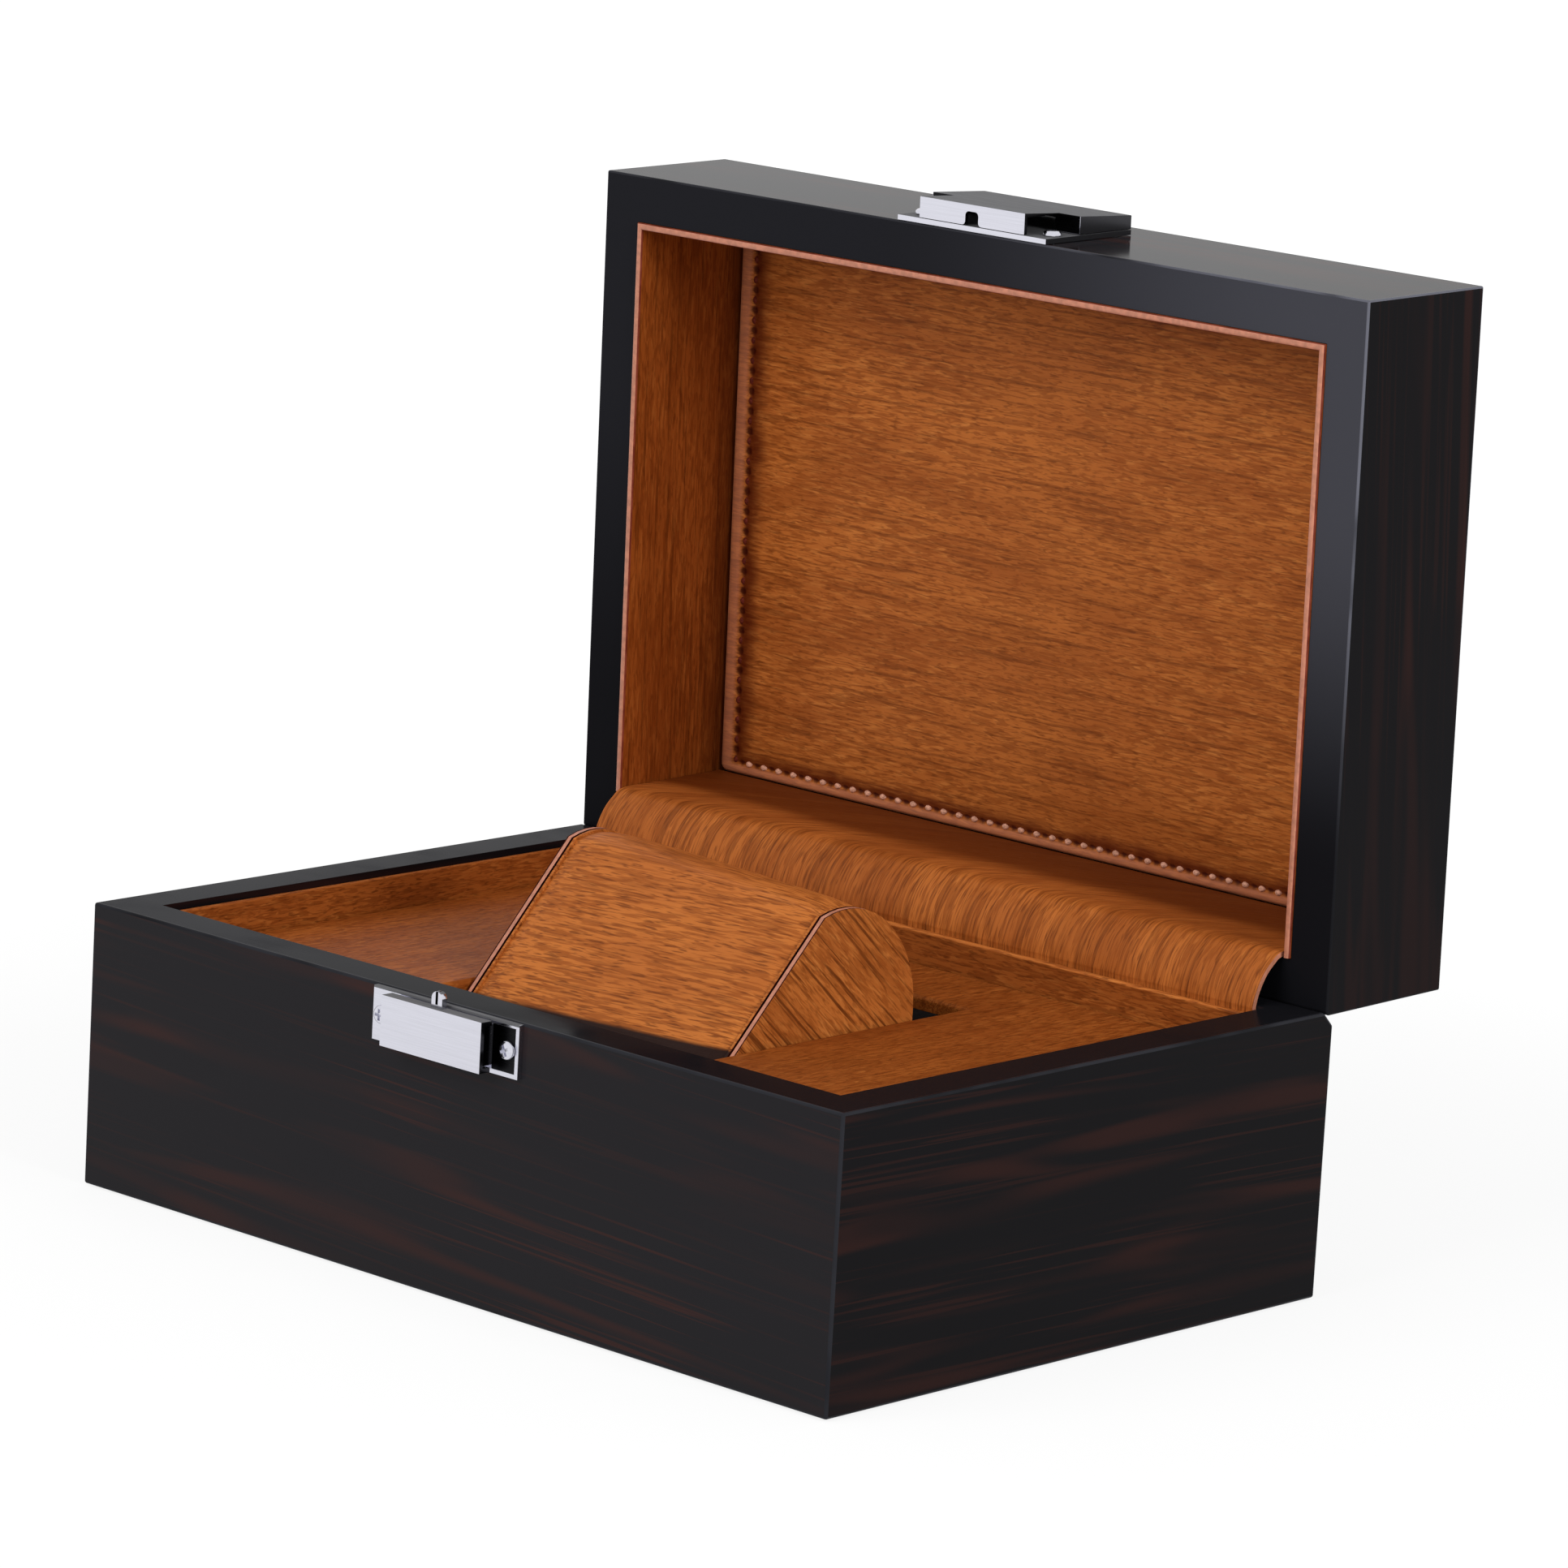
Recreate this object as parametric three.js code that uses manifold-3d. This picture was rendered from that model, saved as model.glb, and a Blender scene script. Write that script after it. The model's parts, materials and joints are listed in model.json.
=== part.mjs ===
// Lacquered wooden jewelry case for one watch or bracelet, standing open.
// Millimetres. The origin is the middle of the underside, with X to the right, Y to the back and Z up.
import * as THREE from "three";
import { mergeVertices } from "three/addons/utils/BufferGeometryUtils.js";
import Module from "manifold-3d";

const wasm = await Module();
wasm.setup();

// Case
const caseWidth = 180;
const caseDepth = 124;
const baseHeight = 51.4;
const lidHeight = 31.2;
const boardThickness = 8.5;
const rimGap = 0.2;
const openAngle = THREE.MathUtils.degToRad(89);
const rimBevelSize = 2.5;
const lidBevelSize = 1.2;
const glueGap = 0.1;
const overrun = 2;

// Floor, felt and top panel
const feltThickness = 1.2;
const feltStand = 0.4;
const feltInset = 3;
const floorThickness = 4;
const topPanelThickness = 3.4;

// Leather-covered linings
const baseLiner = 1.2;
const linerDrop = 1.2;
const lidLiner = 1.3;
const lidLip = 0.6;
const flapThickness = 0.9;
const flapSideClearance = 0.4;

// Deck and well
const deckDrop = 7.2;
const deckThickness = 2.5;
const wellDepth = 72;
const frontTrayShare = 0.40515;
const wellWall = 2.5;
const wellLining = 1;
const railWidth = 8;

// Pillow
const pillowWidth = 63.4;
const pillowSideClearance = 0.5;
const cheekThickness = 2;
const cheekGap = 0.4;
const wrapThickness = 1.4;
const seamDraw = 0.7;
const crownRadius = 19.4;
const crownRun = 30;
const crownRise = 2.2;
const kinkAngle = THREE.MathUtils.degToRad(107.8);
const facePitch = THREE.MathUtils.degToRad(45.7);
const pillowFrontGap = 9;
const noseRadius = 9;
const heelRadius = 12;

// Pad in the lid
const padThickness = 1;
const padCardThickness = 0.8;
const padSideClearance = 0.4;
const padCornerRadius = 1.5;
const padEdgeRound = 0.3;
const stitchInset = 2.8;
const stitchGroove = 0.35;
const stitchGrooveHalf = 0.6;
const padCrown = 0.6;
const padCrownRun = 12;

// Hinges
const hingeSideInset = 38;
const hingeAxisInset = 1.5;
const hingeAxisRise = 0.8;
const leafWidth = 25;
const leafThickness = 0.8;
const leafReach = 6.1;
const barrelRadius = 1.5;
const hingePinRadius = 0.7;
const hingeRunning = 0.05;
const knuckleCount = 5;
const knuckleGap = 0.15;
const leafClearance = 0.2;
const hingeScrewSpread = 8;
const hingeScrewSetback = 4.2;

// Clasp
const platesWidth = 35;
const basePlateHeight = 9.4;
const lidPlateHeight = 22.8;
const plateThickness = 1;
const coverWidth = 24;
const coverHeight = 8.8;
const coverProud = 4.5;
const coverWall = 0.8;
const coverTopDrop = 0.4;
const plateTopDrop = 0.2;
const pushTravel = 0.8;
const pushClearance = 0.2;
const slideClearance = 0.1;
const bossInset = 1;
const bossStand = 1.7;
const catchWidth = 2.6;
const catchThickness = 1.2;
const catchHeight = 2.8;
const catchTail = 1.8;
const catchSlit = 0.4;
const catchSlitFoot = 0.6;
const catchFront = 3.3;
const catchSeatGap = 0.05;
const slotClearance = 0.2;
const slotEndClearance = 0.3;
const hoodFrontProud = 4.9;
const hoodRearProud = 3.6;
const hoodWaist = 24.8;
const hoodWaistHeight = 9;
const hoodWall = 0.8;
const claspScrewSpread = 15.1;
const claspScrewDrop = 4.7;
const lidClaspScrewRise = 4.4;
const springSpread = 7.2;
const springRadius = 1.35;
const springWire = 0.22;
const springTurns = 3;
const springPocket = 1.9;
const springSeat = 0.5;
const springEndGap = 0.08;

// Screws
const claspScrew = { head: 1.7, rise: 0.9, shank: 0.6, length: 5 };
const hingeScrew = { head: 1.3, rise: 0.3, shank: 0.6, length: 5 };
const screwClearance = 0.1;
const headLift = 0.05;

// How finely round shapes are divided
const roundSides = 24;
const arcSteps = 8;
const crownSteps = 16;
const screwSides = 14;
const screwHeadSteps = 3;

// Places worked out from the sizes above
const halfWidth = caseWidth / 2;
const halfDepth = caseDepth / 2;
const innerX = halfWidth - boardThickness;
const innerY = halfDepth - boardThickness;
const floorTop = feltThickness + floorThickness;
const deckTop = baseHeight - deckDrop;
const deckUnder = deckTop - deckThickness;
const linerTop = baseHeight - linerDrop;
const lidRim = baseHeight + rimGap;
const lidTop = lidRim + lidHeight;
const panelUnder = lidTop - topPanelThickness;
const cardUnder = panelUnder - glueGap - padCardThickness;
const padBack = cardUnder - glueGap;
const wellHalf = pillowWidth / 2 + pillowSideClearance;
const wellFloor = floorTop + wellLining;
const hingeY = halfDepth - hingeAxisInset;
const hingeZ = baseHeight + hingeAxisRise;

const finish = (color, roughness, metalness) =>
  new THREE.MeshStandardMaterial({ color, roughness, metalness });
const veneer = finish(0x241c1d, 0.12, 0);
const leather = finish(0xa35a26, 0.6, 0);
const board = finish(0x8a7350, 0.9, 0);
const felt = finish(0x16161a, 1, 0);
const foam = finish(0xb9b4a8, 0.95, 0);
const chrome = finish(0xd9dae0, 0.15, 1);
const springSteel = finish(0x9a9ca3, 0.3, 1);
const brass = finish(0xa98a4a, 0.35, 1);

const alongX = new THREE.Matrix4().makeBasis(
  new THREE.Vector3(0, 1, 0),
  new THREE.Vector3(0, 0, 1),
  new THREE.Vector3(1, 0, 0),
);
const alongMinusY = new THREE.Matrix4().makeBasis(
  new THREE.Vector3(1, 0, 0),
  new THREE.Vector3(0, 0, 1),
  new THREE.Vector3(0, -1, 0),
);

// A closed geometry as a solid for cutting and joining.
function solidOf(geometry) {
  const bare = new THREE.BufferGeometry().setAttribute("position", geometry.getAttribute("position"));
  if (geometry.index) bare.setIndex(geometry.index);
  const merged = mergeVertices(bare);
  return new wasm.Manifold(
    new wasm.Mesh({
      numProp: 3,
      vertProperties: merged.attributes.position.array,
      triVerts: new Uint32Array(merged.index.array),
    }),
  );
}

function geometryOf(solid) {
  const mesh = solid.getMesh();
  return new THREE.BufferGeometry()
    .setAttribute("position", new THREE.BufferAttribute(new Float32Array(mesh.vertProperties), 3))
    .setIndex(new THREE.BufferAttribute(new Uint32Array(mesh.triVerts), 1));
}

function cut(geometry, ...cutters) {
  return geometryOf(cutters.reduce((left, cutter) => left.subtract(solidOf(cutter)), solidOf(geometry)));
}

function join(geometry, ...others) {
  return geometryOf(others.reduce((sum, other) => sum.add(solidOf(other)), solidOf(geometry)));
}

function common(a, b) {
  return geometryOf(solidOf(a).intersect(solidOf(b)));
}

// A block between two values on each axis.
function block(x, y, z) {
  const [width, depth, height] = [x, y, z].map(([low, high]) => high - low);
  const [midX, midY, midZ] = [x, y, z].map(([low, high]) => (low + high) / 2);
  return new THREE.BoxGeometry(width, depth, height).translate(midX, midY, midZ);
}

// Flat outlines drawn out along an axis.
function prism(shape, length) {
  return new THREE.ExtrudeGeometry(shape, { depth: length, bevelEnabled: false, curveSegments: arcSteps });
}

const prismX = (shape, length) =>
  prism(shape, length).translate(0, 0, -length / 2).applyMatrix4(alongX);

const prismOut = (shape, length) => prism(shape, length).applyMatrix4(alongMinusY);

const outline = (points) => new THREE.Shape(points.map(([u, v]) => new THREE.Vector2(u, v)));

// A round rod centred on the origin; the turn brings it from Y to the axis it lies along.
function rod(radius, length, axis) {
  const made = new THREE.CylinderGeometry(radius, radius, length, roundSides);
  if (axis === "x") made.rotateZ(Math.PI / 2);
  if (axis === "z") made.rotateX(Math.PI / 2);
  return made;
}

// Rings with the same number of points, joined into one closed skin.
function loft(rings) {
  const count = rings[0].length;
  const positions = rings.flat(2);
  const index = [];
  for (let r = 0; r + 1 < rings.length; r++) {
    for (let i = 0; i < count; i++) {
      const next = (i + 1) % count;
      const [a, b] = [r * count + i, r * count + next];
      index.push(a, b, b + count, a, b + count, a + count);
    }
  }
  const centre = (ring) => ring.reduce((s, p) => s.map((v, k) => v + p[k] / count), [0, 0, 0]);
  const last = (rings.length - 1) * count;
  const firstCentre = positions.length / 3;
  positions.push(...centre(rings[0]), ...centre(rings[rings.length - 1]));
  for (let i = 0; i < count; i++) {
    const next = (i + 1) % count;
    index.push(firstCentre, next, i, firstCentre + 1, last + i, last + next);
  }
  return new THREE.BufferGeometry()
    .setAttribute("position", new THREE.BufferAttribute(new Float32Array(positions), 3))
    .setIndex(index);
}

function place(group, name, geometry, material, position = [0, 0, 0], turn = 0) {
  const mesh = new THREE.Mesh(geometry, material);
  mesh.name = name;
  mesh.position.set(...position);
  mesh.rotation.z = turn;
  group.add(mesh);
  return mesh;
}

const jewelryCase = new THREE.Group();
const lid = new THREE.Group();
const lidTurn = new THREE.Group();
lidTurn.position.set(0, hingeY, hingeZ);
lidTurn.rotation.x = -openAngle;
lid.position.set(0, -hingeY, -hingeZ);
lidTurn.add(lid);
jewelryCase.add(lidTurn);

// Where a point of the closed lid lies, in Y and Z, when the lid stands open.
function whenOpen(y, z) {
  const v = new THREE.Vector2(y - hingeY, z - hingeZ).rotateAround(new THREE.Vector2(), -openAngle);
  return [hingeY + v.x, hingeZ + v.y];
}

// Board with mitred ends: its outer face is at Y zero, its inner face at the board's thickness.
function mitredBoard(length, height) {
  const half = length / 2;
  const pull = glueGap / 2;
  const mitre = (side) =>
    prism(
      outline([
        [side * (half - pull + overrun), -overrun],
        [side * (half - pull + overrun), boardThickness + overrun],
        [side * (half - pull - boardThickness - overrun), boardThickness + overrun],
      ]),
      height + overrun * 2,
    ).translate(0, 0, -overrun);
  return cut(block([-half, half], [0, boardThickness], [0, height]), mitre(-1), mitre(1));
}

// The four boards of the base or the lid on a level. Cutters are placed in the group's own frame.
function frameBoards(group, prefix, level, height, cutters) {
  const sides = [
    ["front", caseWidth, [0, -halfDepth, level], 0],
    ["rear", caseWidth, [0, halfDepth, level], Math.PI],
    ["left", caseDepth, [-halfWidth, 0, level], -Math.PI / 2],
    ["right", caseDepth, [halfWidth, 0, level], Math.PI / 2],
  ];
  for (const [side, length, position, turn] of sides) {
    const name = prefix + "_" + side + "_board";
    const mesh = place(group, name, mitredBoard(length, height), veneer, position, turn);
    mesh.updateMatrix();
    const toBoard = mesh.matrix.clone().invert();
    mesh.geometry = cut(mesh.geometry, ...cutters.map((cutter) => cutter.clone().applyMatrix4(toBoard)));
  }
}

// The bevel along the rear edge of a rim; the wood lies below the rim on the base and above it on the lid.
function rimBevel(rim, size, woodSide) {
  const reach = size + overrun;
  const triangle = outline([
    [halfDepth - size - overrun, rim - woodSide * overrun],
    [halfDepth + overrun, rim + woodSide * reach],
    [halfDepth + overrun, rim - woodSide * overrun],
  ]);
  return prismX(triangle, caseWidth + overrun);
}

// Screws stand with the head's underside on the origin and the head towards +Z.
function screwGeometry({ head, rise, shank, length }) {
  const profile = new THREE.Path();
  profile.moveTo(0, -length);
  profile.lineTo(shank, -length + shank);
  profile.lineTo(shank, 0);
  profile.lineTo(head, 0);
  profile.quadraticCurveTo(head, rise, 0, rise);
  return new THREE.LatheGeometry(profile.getPoints(screwHeadSteps), screwSides).rotateX(Math.PI / 2);
}

const hingeCentres = [hingeSideInset - halfWidth, halfWidth - hingeSideInset];
const hingeScrewPlaces = (x) => [x - hingeScrewSpread, x + hingeScrewSpread];
const pilot = (screw) => rod(screw.shank + screwClearance, screw.length * 2 + overrun, "z");

// Pockets for the leaves, the barrels and the screws in a rim.
function hingeCuts(rim, pocketZ) {
  return hingeCentres.flatMap((x) => [
    block(
      [x - leafWidth / 2 - glueGap, x + leafWidth / 2 + glueGap],
      [hingeY - leafReach - glueGap, halfDepth + overrun],
      pocketZ,
    ),
    rod(barrelRadius + leafClearance, leafWidth + 2 * glueGap, "x").translate(x, hingeY, hingeZ),
    ...hingeScrewPlaces(x).map((sx) => pilot(hingeScrew).translate(sx, hingeY - hingeScrewSetback, rim)),
  ]);
}

const claspPlateTop = baseHeight - plateTopDrop;
const claspCoverTop = baseHeight - coverTopDrop;
const claspPlateMid = claspPlateTop - claspScrewDrop;
const claspScrewZ = lidRim + lidClaspScrewRise;
const claspPilot = (x, z) =>
  rod(claspScrew.shank + screwClearance, claspScrew.length * 2, "y").translate(x, -halfDepth, z);
const sidePair = [-1, 1];

function makeBoards() {
  const pocketDepth = leafThickness + glueGap;
  frameBoards(jewelryCase, "base", feltStand, baseHeight - feltStand, [
    rimBevel(baseHeight, rimBevelSize, -1),
    ...hingeCuts(baseHeight, [baseHeight - pocketDepth, baseHeight + overrun]),
    ...sidePair.map((s) => claspPilot(s * claspScrewSpread, claspPlateMid)),
  ]);
  frameBoards(lid, "lid", lidRim, lidHeight, [
    rimBevel(lidRim, lidBevelSize, 1),
    ...hingeCuts(lidRim, [lidRim - overrun, lidRim + pocketDepth]),
    ...sidePair.map((s) => claspPilot(s * claspScrewSpread, claspScrewZ)),
  ]);
}

function makePanels() {
  const fitX = innerX - glueGap;
  const fitY = innerY - glueGap;
  const feltX = fitX - feltInset;
  const feltY = fitY - feltInset;
  const pad = block([-feltX, feltX], [-feltY, feltY], [0, feltThickness]);
  const floor = block([-fitX, fitX], [-fitY, fitY], [feltThickness, floorTop]);
  const top = block([-fitX, fitX], [-fitY, fitY], [panelUnder, lidTop]);
  place(jewelryCase, "base_felt_pad", pad, felt);
  place(jewelryCase, "base_floor_panel", floor, board);
  place(lid, "lid_top_panel", top, veneer);
}

// Covered card with a rounded top edge, its back at zero, drawn out along its length.
function linerGeometry(length, thickness, height) {
  const round = thickness / 2;
  const section = new THREE.Shape();
  section.moveTo(0, 0);
  section.lineTo(thickness, 0);
  section.lineTo(thickness, height - round);
  section.absarc(round, height - round, round, 0, Math.PI, false);
  section.lineTo(0, 0);
  return prismX(section, length);
}

const flapRoom = flapThickness + glueGap;

function makeBaseLiners() {
  const height = linerTop - floorTop - glueGap;
  const level = floorTop + glueGap;
  const across = 2 * (innerX - glueGap);
  const back = innerY - glueGap;
  const rearBack = back - flapRoom;
  const frontFace = -back + baseLiner + glueGap;
  const rearFace = rearBack - baseLiner - glueGap;
  const sideLength = rearFace - frontFace;
  const sideMid = (rearFace + frontFace) / 2;
  const long = linerGeometry(across, baseLiner, height);
  const side = linerGeometry(sideLength, baseLiner, height);
  const edge = innerX - glueGap;
  place(jewelryCase, "base_front_liner", long, leather, [0, -back, level]);
  place(jewelryCase, "base_rear_liner", long.clone(), leather, [0, rearBack, level], Math.PI);
  place(jewelryCase, "base_left_liner", side, leather, [-edge, sideMid, level], -Math.PI / 2);
  place(jewelryCase, "base_right_liner", side.clone(), leather, [edge, sideMid, level], Math.PI / 2);
}

// The lid's liners stand proud of its rim as a lip; the hinge cover takes the rear wall.
function makeLidLiners() {
  const lipEnd = lidRim - lidLip;
  const height = panelUnder - glueGap - lipEnd;
  const across = 2 * (innerX - glueGap);
  const back = innerY - glueGap;
  const frontFace = -back + lidLiner + glueGap;
  const sideLength = back - frontFace;
  const sideMid = (back + frontFace) / 2;
  const edge = innerX - glueGap;
  const stand = (geometry) => geometry.rotateY(Math.PI);
  const level = lipEnd + height;
  const front = stand(linerGeometry(across, lidLiner, height));
  const side = stand(linerGeometry(sideLength, lidLiner, height));
  place(lid, "lid_front_liner", front, leather, [0, -back, level]);
  place(lid, "lid_left_liner", side, leather, [-edge, sideMid, level], -Math.PI / 2);
  place(lid, "lid_right_liner", side.clone(), leather, [edge, sideMid, level], Math.PI / 2);
}

const deckX = innerX - glueGap - baseLiner - glueGap;
const deckFront = -(innerY - baseLiner - 2 * glueGap);
const deckRear = innerY - flapRoom - baseLiner - 3 * glueGap;
const wellFront = deckFront + frontTrayShare * (deckRear - deckFront - wellDepth);
const wellRear = wellFront + wellDepth;

function makeDeck() {
  const shape = outline([
    [-deckX, deckFront],
    [deckX, deckFront],
    [deckX, deckRear],
    [-deckX, deckRear],
  ]);
  shape.holes.push(
    new THREE.Path([
      new THREE.Vector2(-wellHalf, wellFront),
      new THREE.Vector2(-wellHalf, wellRear),
      new THREE.Vector2(wellHalf, wellRear),
      new THREE.Vector2(wellHalf, wellFront),
    ]),
  );
  place(jewelryCase, "deck_board", prism(shape, deckThickness), leather, [0, 0, deckUnder]);
  const low = floorTop;
  const high = deckUnder - glueGap;
  const outerX = wellHalf + wellWall;
  const liningX = wellHalf - glueGap;
  const liningY = [wellFront + glueGap, wellRear - glueGap];
  const walls = {
    well_front_wall: [[-outerX, outerX], [wellFront - wellWall, wellFront]],
    well_rear_wall: [[-outerX, outerX], [wellRear, wellRear + wellWall]],
    well_left_wall: [[-outerX, -wellHalf], liningY],
    well_right_wall: [[wellHalf, outerX], liningY],
    deck_rail_left: [[-deckX, -deckX + railWidth], [deckFront, deckRear]],
    deck_rail_right: [[deckX - railWidth, deckX], [deckFront, deckRear]],
  };
  for (const [name, [x, y]] of Object.entries(walls)) {
    place(jewelryCase, name, block(x, y, [low, high]), board);
  }
  const lining = block([-liningX, liningX], liningY, [low, wellFloor]);
  place(jewelryCase, "well_floor_lining", lining, leather);
}

// Outline of the pillow seen from its side, in Y and Z, drawn in by an inset.
function pillowOutline(inset) {
  const front = wellFront + pillowFrontGap;
  const centre = [front + crownRun, deckTop + crownRise];
  const foot = wellFloor + glueGap;
  const heelY = centre[0] + crownRadius - heelRadius;
  const toeY = front + heelRadius;
  const heelZ = foot + heelRadius;
  const normal = [-Math.sin(facePitch), Math.cos(facePitch)];
  const kink = [
    centre[0] + crownRadius * Math.cos(kinkAngle),
    centre[1] + crownRadius * Math.sin(kinkAngle),
  ];
  const faceOffset = normal[0] * kink[0] + normal[1] * kink[1];
  const noseY = front + noseRadius;
  const noseZ = (faceOffset - noseRadius - normal[0] * noseY) / normal[1];
  const reach = faceOffset - inset - normal[0] * centre[0] - normal[1] * centre[1];
  const faceAngle = facePitch + Math.PI / 2;
  const crownEnd = faceAngle - Math.acos(reach / (crownRadius - inset));
  const arc = (y, z, radius, from, to, steps) =>
    Array.from({ length: steps + 1 }, (_, i) => {
      const angle = from + ((to - from) * i) / steps;
      return [y + (radius - inset) * Math.cos(angle), z + (radius - inset) * Math.sin(angle)];
    });
  return [
    ...arc(heelY, heelZ, heelRadius, -Math.PI / 2, 0, arcSteps),
    ...arc(centre[0], centre[1], crownRadius, 0, crownEnd, crownSteps),
    ...arc(noseY, noseZ, noseRadius, faceAngle, Math.PI, arcSteps),
    ...arc(toeY, heelZ, heelRadius, Math.PI, (Math.PI * 3) / 2, arcSteps),
  ];
}

// Shares of the half length at which the wrap's swelling is drawn.
const wrapStationShares = [-1, -0.985, -0.95, -0.88, -0.75, -0.5, 0, 0.5, 0.75, 0.88, 0.95, 0.985, 1];
const swellPower = 10;

function makePillow() {
  const half = pillowWidth / 2;
  const cheekInner = half - cheekThickness;
  const wrapHalf = cheekInner - cheekGap;
  const ring = (x, inset) => pillowOutline(inset).map(([y, z]) => [x, y, z]);
  const drawnIn = (share) => seamDraw * share ** swellPower;
  const skin = loft(wrapStationShares.map((share) => ring(share * wrapHalf, drawnIn(share))));
  const bore = prismX(outline(pillowOutline(wrapThickness)), 2 * (wrapHalf + overrun));
  place(jewelryCase, "pillow_wrap", cut(skin, bore), leather);
  const core = prismX(outline(pillowOutline(wrapThickness + glueGap)), 2 * wrapHalf);
  place(jewelryCase, "pillow_core", core, foam);
  const cheek = prismX(outline(pillowOutline(0)), cheekThickness);
  const cheekX = half - cheekThickness / 2;
  place(jewelryCase, "pillow_cheek_left", cheek, leather, [-cheekX, 0, 0]);
  place(jewelryCase, "pillow_cheek_right", cheek.clone(), leather, [cheekX, 0, 0]);
}

// Ring of a rectangle with round corners, at a height.
function roundRectangle(halfX, halfY, radius, height) {
  const corners = [
    [halfX - radius, halfY - radius, 0],
    [radius - halfX, halfY - radius, Math.PI / 2],
    [radius - halfX, radius - halfY, Math.PI],
    [halfX - radius, radius - halfY, (Math.PI * 3) / 2],
  ];
  const quarterSteps = arcSteps / 2;
  return corners.flatMap(([x, y, start]) =>
    Array.from({ length: quarterSteps + 1 }, (_, i) => {
      const angle = start + (Math.PI / 2) * (i / quarterSteps);
      return [x + radius * Math.cos(angle), y + radius * Math.sin(angle), height];
    }),
  );
}

const padHalfX = innerX - glueGap - lidLiner - padSideClearance;
const padFront = -(innerY - glueGap - lidLiner - padSideClearance);
const padRear = innerY - flapRoom - padSideClearance;

// Turned border, sunk line of stitches and a slightly swollen field.
function makeLidPad() {
  const halfY = (padRear - padFront) / 2;
  const midY = (padRear + padFront) / 2;
  const ring = (inset, height) => {
    const radius = Math.max(padCornerRadius - inset, padEdgeRound);
    return roundRectangle(padHalfX - inset, halfY - inset, radius, height);
  };
  const rings = [
    ring(0, 0),
    ring(0, padThickness - padEdgeRound),
    ring(padEdgeRound, padThickness),
    ring(stitchInset - stitchGrooveHalf, padThickness),
    ring(stitchInset, padThickness - stitchGroove),
    ring(stitchInset + stitchGrooveHalf, padThickness),
    ring(stitchInset + padCrownRun / 2, padThickness + padCrown / 2),
    ring(stitchInset + padCrownRun, padThickness + padCrown),
  ];
  const pad = loft(rings).rotateX(Math.PI);
  place(lid, "lid_pad", pad, leather, [0, midY, padBack]);
  const card = block([-padHalfX, padHalfX], [padFront, padRear], [cardUnder, panelUnder - glueGap]);
  place(lid, "lid_pad_card", card, board);
}

// The leather hinge cover in the open pose: tucked behind the base's rear liner, up over the rims in a
// soft shoulder, and along the lid's rear wall to the pad. Shares place its bend between the two rims.
const shoulderYShares = [0.1, 0.32, 0.62];
const shoulderZShares = [0.28, 0.6, 0.84];
const coverFlatShare = 0.25;

function makeHingeCover() {
  const ride = glueGap + flapThickness / 2;
  const tuck = deckTop;
  const baseY = innerY - ride;
  const lidStart = whenOpen(innerY - ride, lidRim);
  const lidEnd = whenOpen(innerY - ride, cardUnder - padThickness);
  const between = shoulderYShares.map((share, i) => [
    baseY + share * (lidStart[0] - baseY),
    baseHeight + shoulderZShares[i] * (lidStart[1] - baseHeight),
  ]);
  const lidRun = whenOpen(innerY - ride, lidRim + lidHeight * coverFlatShare);
  const standing = [tuck, linerTop, baseHeight].map((z) => [baseY, z]);
  const points = [...standing, ...between, lidStart, lidRun, lidEnd];
  const knots = points.map(([y, z]) => new THREE.Vector3(y, z, 0));
  const curve = new THREE.CatmullRomCurve3(knots, false, "centripetal");
  const steps = (points.length * arcSteps) / 2;
  const left = [];
  const right = [];
  for (let i = 0; i <= steps; i++) {
    const p = curve.getPoint(i / steps);
    const t = curve.getTangent(i / steps);
    left.push([p.x - (t.y * flapThickness) / 2, p.y + (t.x * flapThickness) / 2]);
    right.push([p.x + (t.y * flapThickness) / 2, p.y - (t.x * flapThickness) / 2]);
  }
  const width = 2 * (padHalfX + padSideClearance - flapSideClearance);
  place(jewelryCase, "hinge_cover", prismX(outline([...right, ...left.reverse()]), width), leather);
}

// One leaf, measured from the axis: its plate, the knuckles it owns with their tongues, the bore, and
// the screw holes with room for the heads on the plate's free side.
function leafGeometry(owned, plateLow, plateHigh, freeSide) {
  const pitch = leafWidth / knuckleCount;
  const plateEnd = -(barrelRadius + leafClearance);
  let leaf = block([-leafWidth / 2, leafWidth / 2], [-leafReach, plateEnd], [plateLow, plateHigh]);
  for (let k = 0; k < knuckleCount; k++) {
    if (!owned(k)) continue;
    const low = k === 0 ? 0 : knuckleGap / 2;
    const high = k === knuckleCount - 1 ? 0 : knuckleGap / 2;
    const x = [-leafWidth / 2 + k * pitch + low, -leafWidth / 2 + (k + 1) * pitch - high];
    const tongue = block(x, [plateEnd - barrelRadius, -hingePinRadius], [plateLow, plateHigh]);
    const barrel = rod(barrelRadius, x[1] - x[0], "x").translate((x[0] + x[1]) / 2, 0, 0);
    leaf = join(leaf, tongue, barrel);
  }
  const bore = rod(hingePinRadius + hingeRunning, leafWidth + overrun, "x");
  const middle = (plateLow + plateHigh) / 2 - (freeSide * glueGap) / 2;
  const headRoom = rod(hingeScrew.head + screwClearance, overrun, "z");
  headRoom.translate(0, 0, middle + (freeSide * overrun) / 2);
  const atScrew = (hole, s) => hole.clone().translate(s * hingeScrewSpread, -hingeScrewSetback, 0);
  const holes = sidePair.flatMap((s) => [atScrew(pilot(hingeScrew), s), atScrew(headRoom, s)]);
  return cut(leaf, bore, ...holes);
}

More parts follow.
